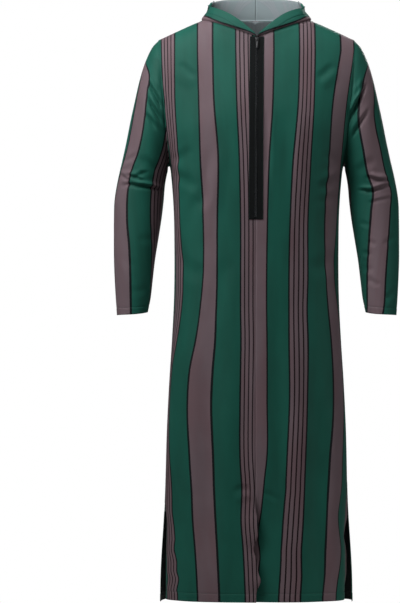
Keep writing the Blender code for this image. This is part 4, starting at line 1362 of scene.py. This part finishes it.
def sew(name, paths, material):
    # Stitches of one length along each path, half sunk in the cloth
    stitch = bmesh.new()
    bmesh.ops.create_uvsphere(stitch, u_segments=5, v_segments=4, radius=0.5)
    thick, step = sewingThread["thick"], sewingThread["step"]
    bmesh.ops.scale(stitch, vec=(thick, thick, sewingThread["length"]), verts=stitch.verts)
    places = []
    for path, normals in paths:
        length = np.concatenate(([0], np.cumsum(np.linalg.norm(np.diff(path, axis=0), axis=-1))))
        for at in np.arange(step, length[-1] - step, step):
            spot, ahead, out = (Vector([np.interp(where, length, values[:, axis]) for axis in range(3)])
                                for where, values in ((at, path), (at + 0.001, path), (at, normals)))
            turn = (ahead - spot).to_track_quat("Z", "Y").to_matrix().to_4x4()
            places.append(Matrix.Translation(spot + out.normalized() * thick * sewingThread["proud"]) @ turn)
    repeated(name, stitch, places, material)


trees = gridTree({side: points for side, (points, _) in fronts.items()})
zipTape, metal, thread = zipTapeWeave(), enamelledZinc(), spunThread()
tapeSewing = [makeTape(side, trees, zipTape) for side in sides]
makeCoil(trees)
makeStops(trees, metal)
metalCopy("zip_slider", "zip_slider_body", metal, "robe")
metalCopy("zip_pull", "zip_pull_tab", metal, "pull_tab")
print("zip made")
for side, (_, sewing) in fronts.items():
    sew(f"stitches_front_{sides[side]}", sewing, thread)
sew("stitches_back", backSewing, thread)
sew("stitches_cuffs", sleeveSewing, thread)
sew("stitches_hood", hoodSewing, thread)
sew("stitches_zip", tapeSewing, thread)
print("stitches made")


camera = {"place": (-0.136, -8.0, -0.677), "lens": 198.2, "sensor": 36.0, "clipEnd": 100}
studio = {
    "floorDown": 1.52,          # the hem hangs 12 cm over the floor
    "floorRadius": 1.2,
    "floorColour": "#d2d0cd",
    "ambient": (0.02, 0.06),    # of the room below and above the eye
}
lights = {
    "key": {"place": (-0.85, -0.90, 1.45), "aim": (0, -0.1, -0.10), "size": 1.7, "power": 275, "cone": 46},
    "fill": {"place": (0.85, -0.90, 1.35), "aim": (0, -0.1, -0.10), "size": 1.7, "power": 40, "cone": 46},
    "top": {"place": (0.0, -0.5, 1.30), "aim": (0, 0, 0), "size": 1.2, "power": 8},
    "side": {"place": (-1.55, -0.95, 0.50), "aim": (0, 0, -0.30), "size": 0.9, "power": 15},
    "rim": {"place": (1.80, -0.70, -0.60), "aim": (0, 0, -0.60), "size": 1.1, "power": 4.5},
    "behind": {"place": (0.7, 2.6, 0.7), "aim": (0, 0, -0.6), "size": 1.4, "power": 45},
}


def addLight(name, setup):
    # A round soft light, or a soft spot where a cone is given
    made = bpy.data.lights.new(name, "SPOT" if "cone" in setup else "AREA")
    if "cone" in setup:
        made.spot_size = math.radians(setup["cone"])
        made.spot_blend = 1.0
        made.shadow_soft_size = setup["size"] / 2
    else:
        made.shape = "DISK"
        made.size = setup["size"]
    made.energy = setup["power"]
    lamp = bpy.data.objects.new(name, made)
    lamp.location = setup["place"]
    aim = Vector(setup["aim"]) - Vector(setup["place"])
    lamp.rotation_euler = aim.to_track_quat("-Z", "Y").to_euler()
    bpy.context.scene.collection.objects.link(lamp)


def makeFloor():
    bm = bmesh.new()
    bmesh.ops.create_circle(bm, cap_ends=True, segments=64, radius=studio["floorRadius"])
    bmesh.ops.translate(bm, verts=bm.verts, vec=(0, 0, -studio["floorDown"]))
    mesh = bpy.data.meshes.new("floor")
    bm.to_mesh(mesh)
    bm.free()
    floor = bpy.data.objects.new("floor", mesh)
    bpy.context.scene.collection.objects.link(floor)
    # Matt paint: pale and even, so that it only takes a soft shadow
    painted, shader = newMaterial("pale painted floor")
    setInputs(painted, shader, {"Base Color": linear(studio["floorColour"]), "Roughness": 0.9})
    mesh.materials.append(painted)


def makeRoom(scene):
    # White to the eye, and dimmer as light
    world = scene.world = bpy.data.worlds.new("studio")
    world.use_nodes = True
    ray = addNode(world, "TexCoord", gives="Generated")
    height = addNode(world, "SeparateXYZ", {"Vector": ray}, gives="Z")
    below, above = studio["ambient"]
    room = addNode(world, "MapRange", {"Value": height, "From Min": -1.0, "To Min": below, "To Max": above})
    seen = addNode(world, "LightPath", gives="Is Camera Ray")
    level = addNode(world, "MapRange", {"Value": seen, "To Min": room, "To Max": 1.0})
    setInputs(world, world.node_tree.nodes["Background"], {"Color": (1, 1, 1, 1), "Strength": level})


scene = bpy.context.scene
optics = bpy.data.cameras.new("camera")
optics.lens = camera["lens"]
optics.sensor_width = camera["sensor"]
optics.clip_end = camera["clipEnd"]
scene.camera = bpy.data.objects.new("camera", optics)
scene.camera.location = camera["place"]
scene.camera.rotation_euler = (math.pi / 2, 0, 0)
scene.collection.objects.link(scene.camera)
makeFloor()
makeRoom(scene)
scene.view_settings.view_transform = "Standard"
for name, setup in lights.items():
    addLight(name, setup)
print("stage made")

print("scene made")
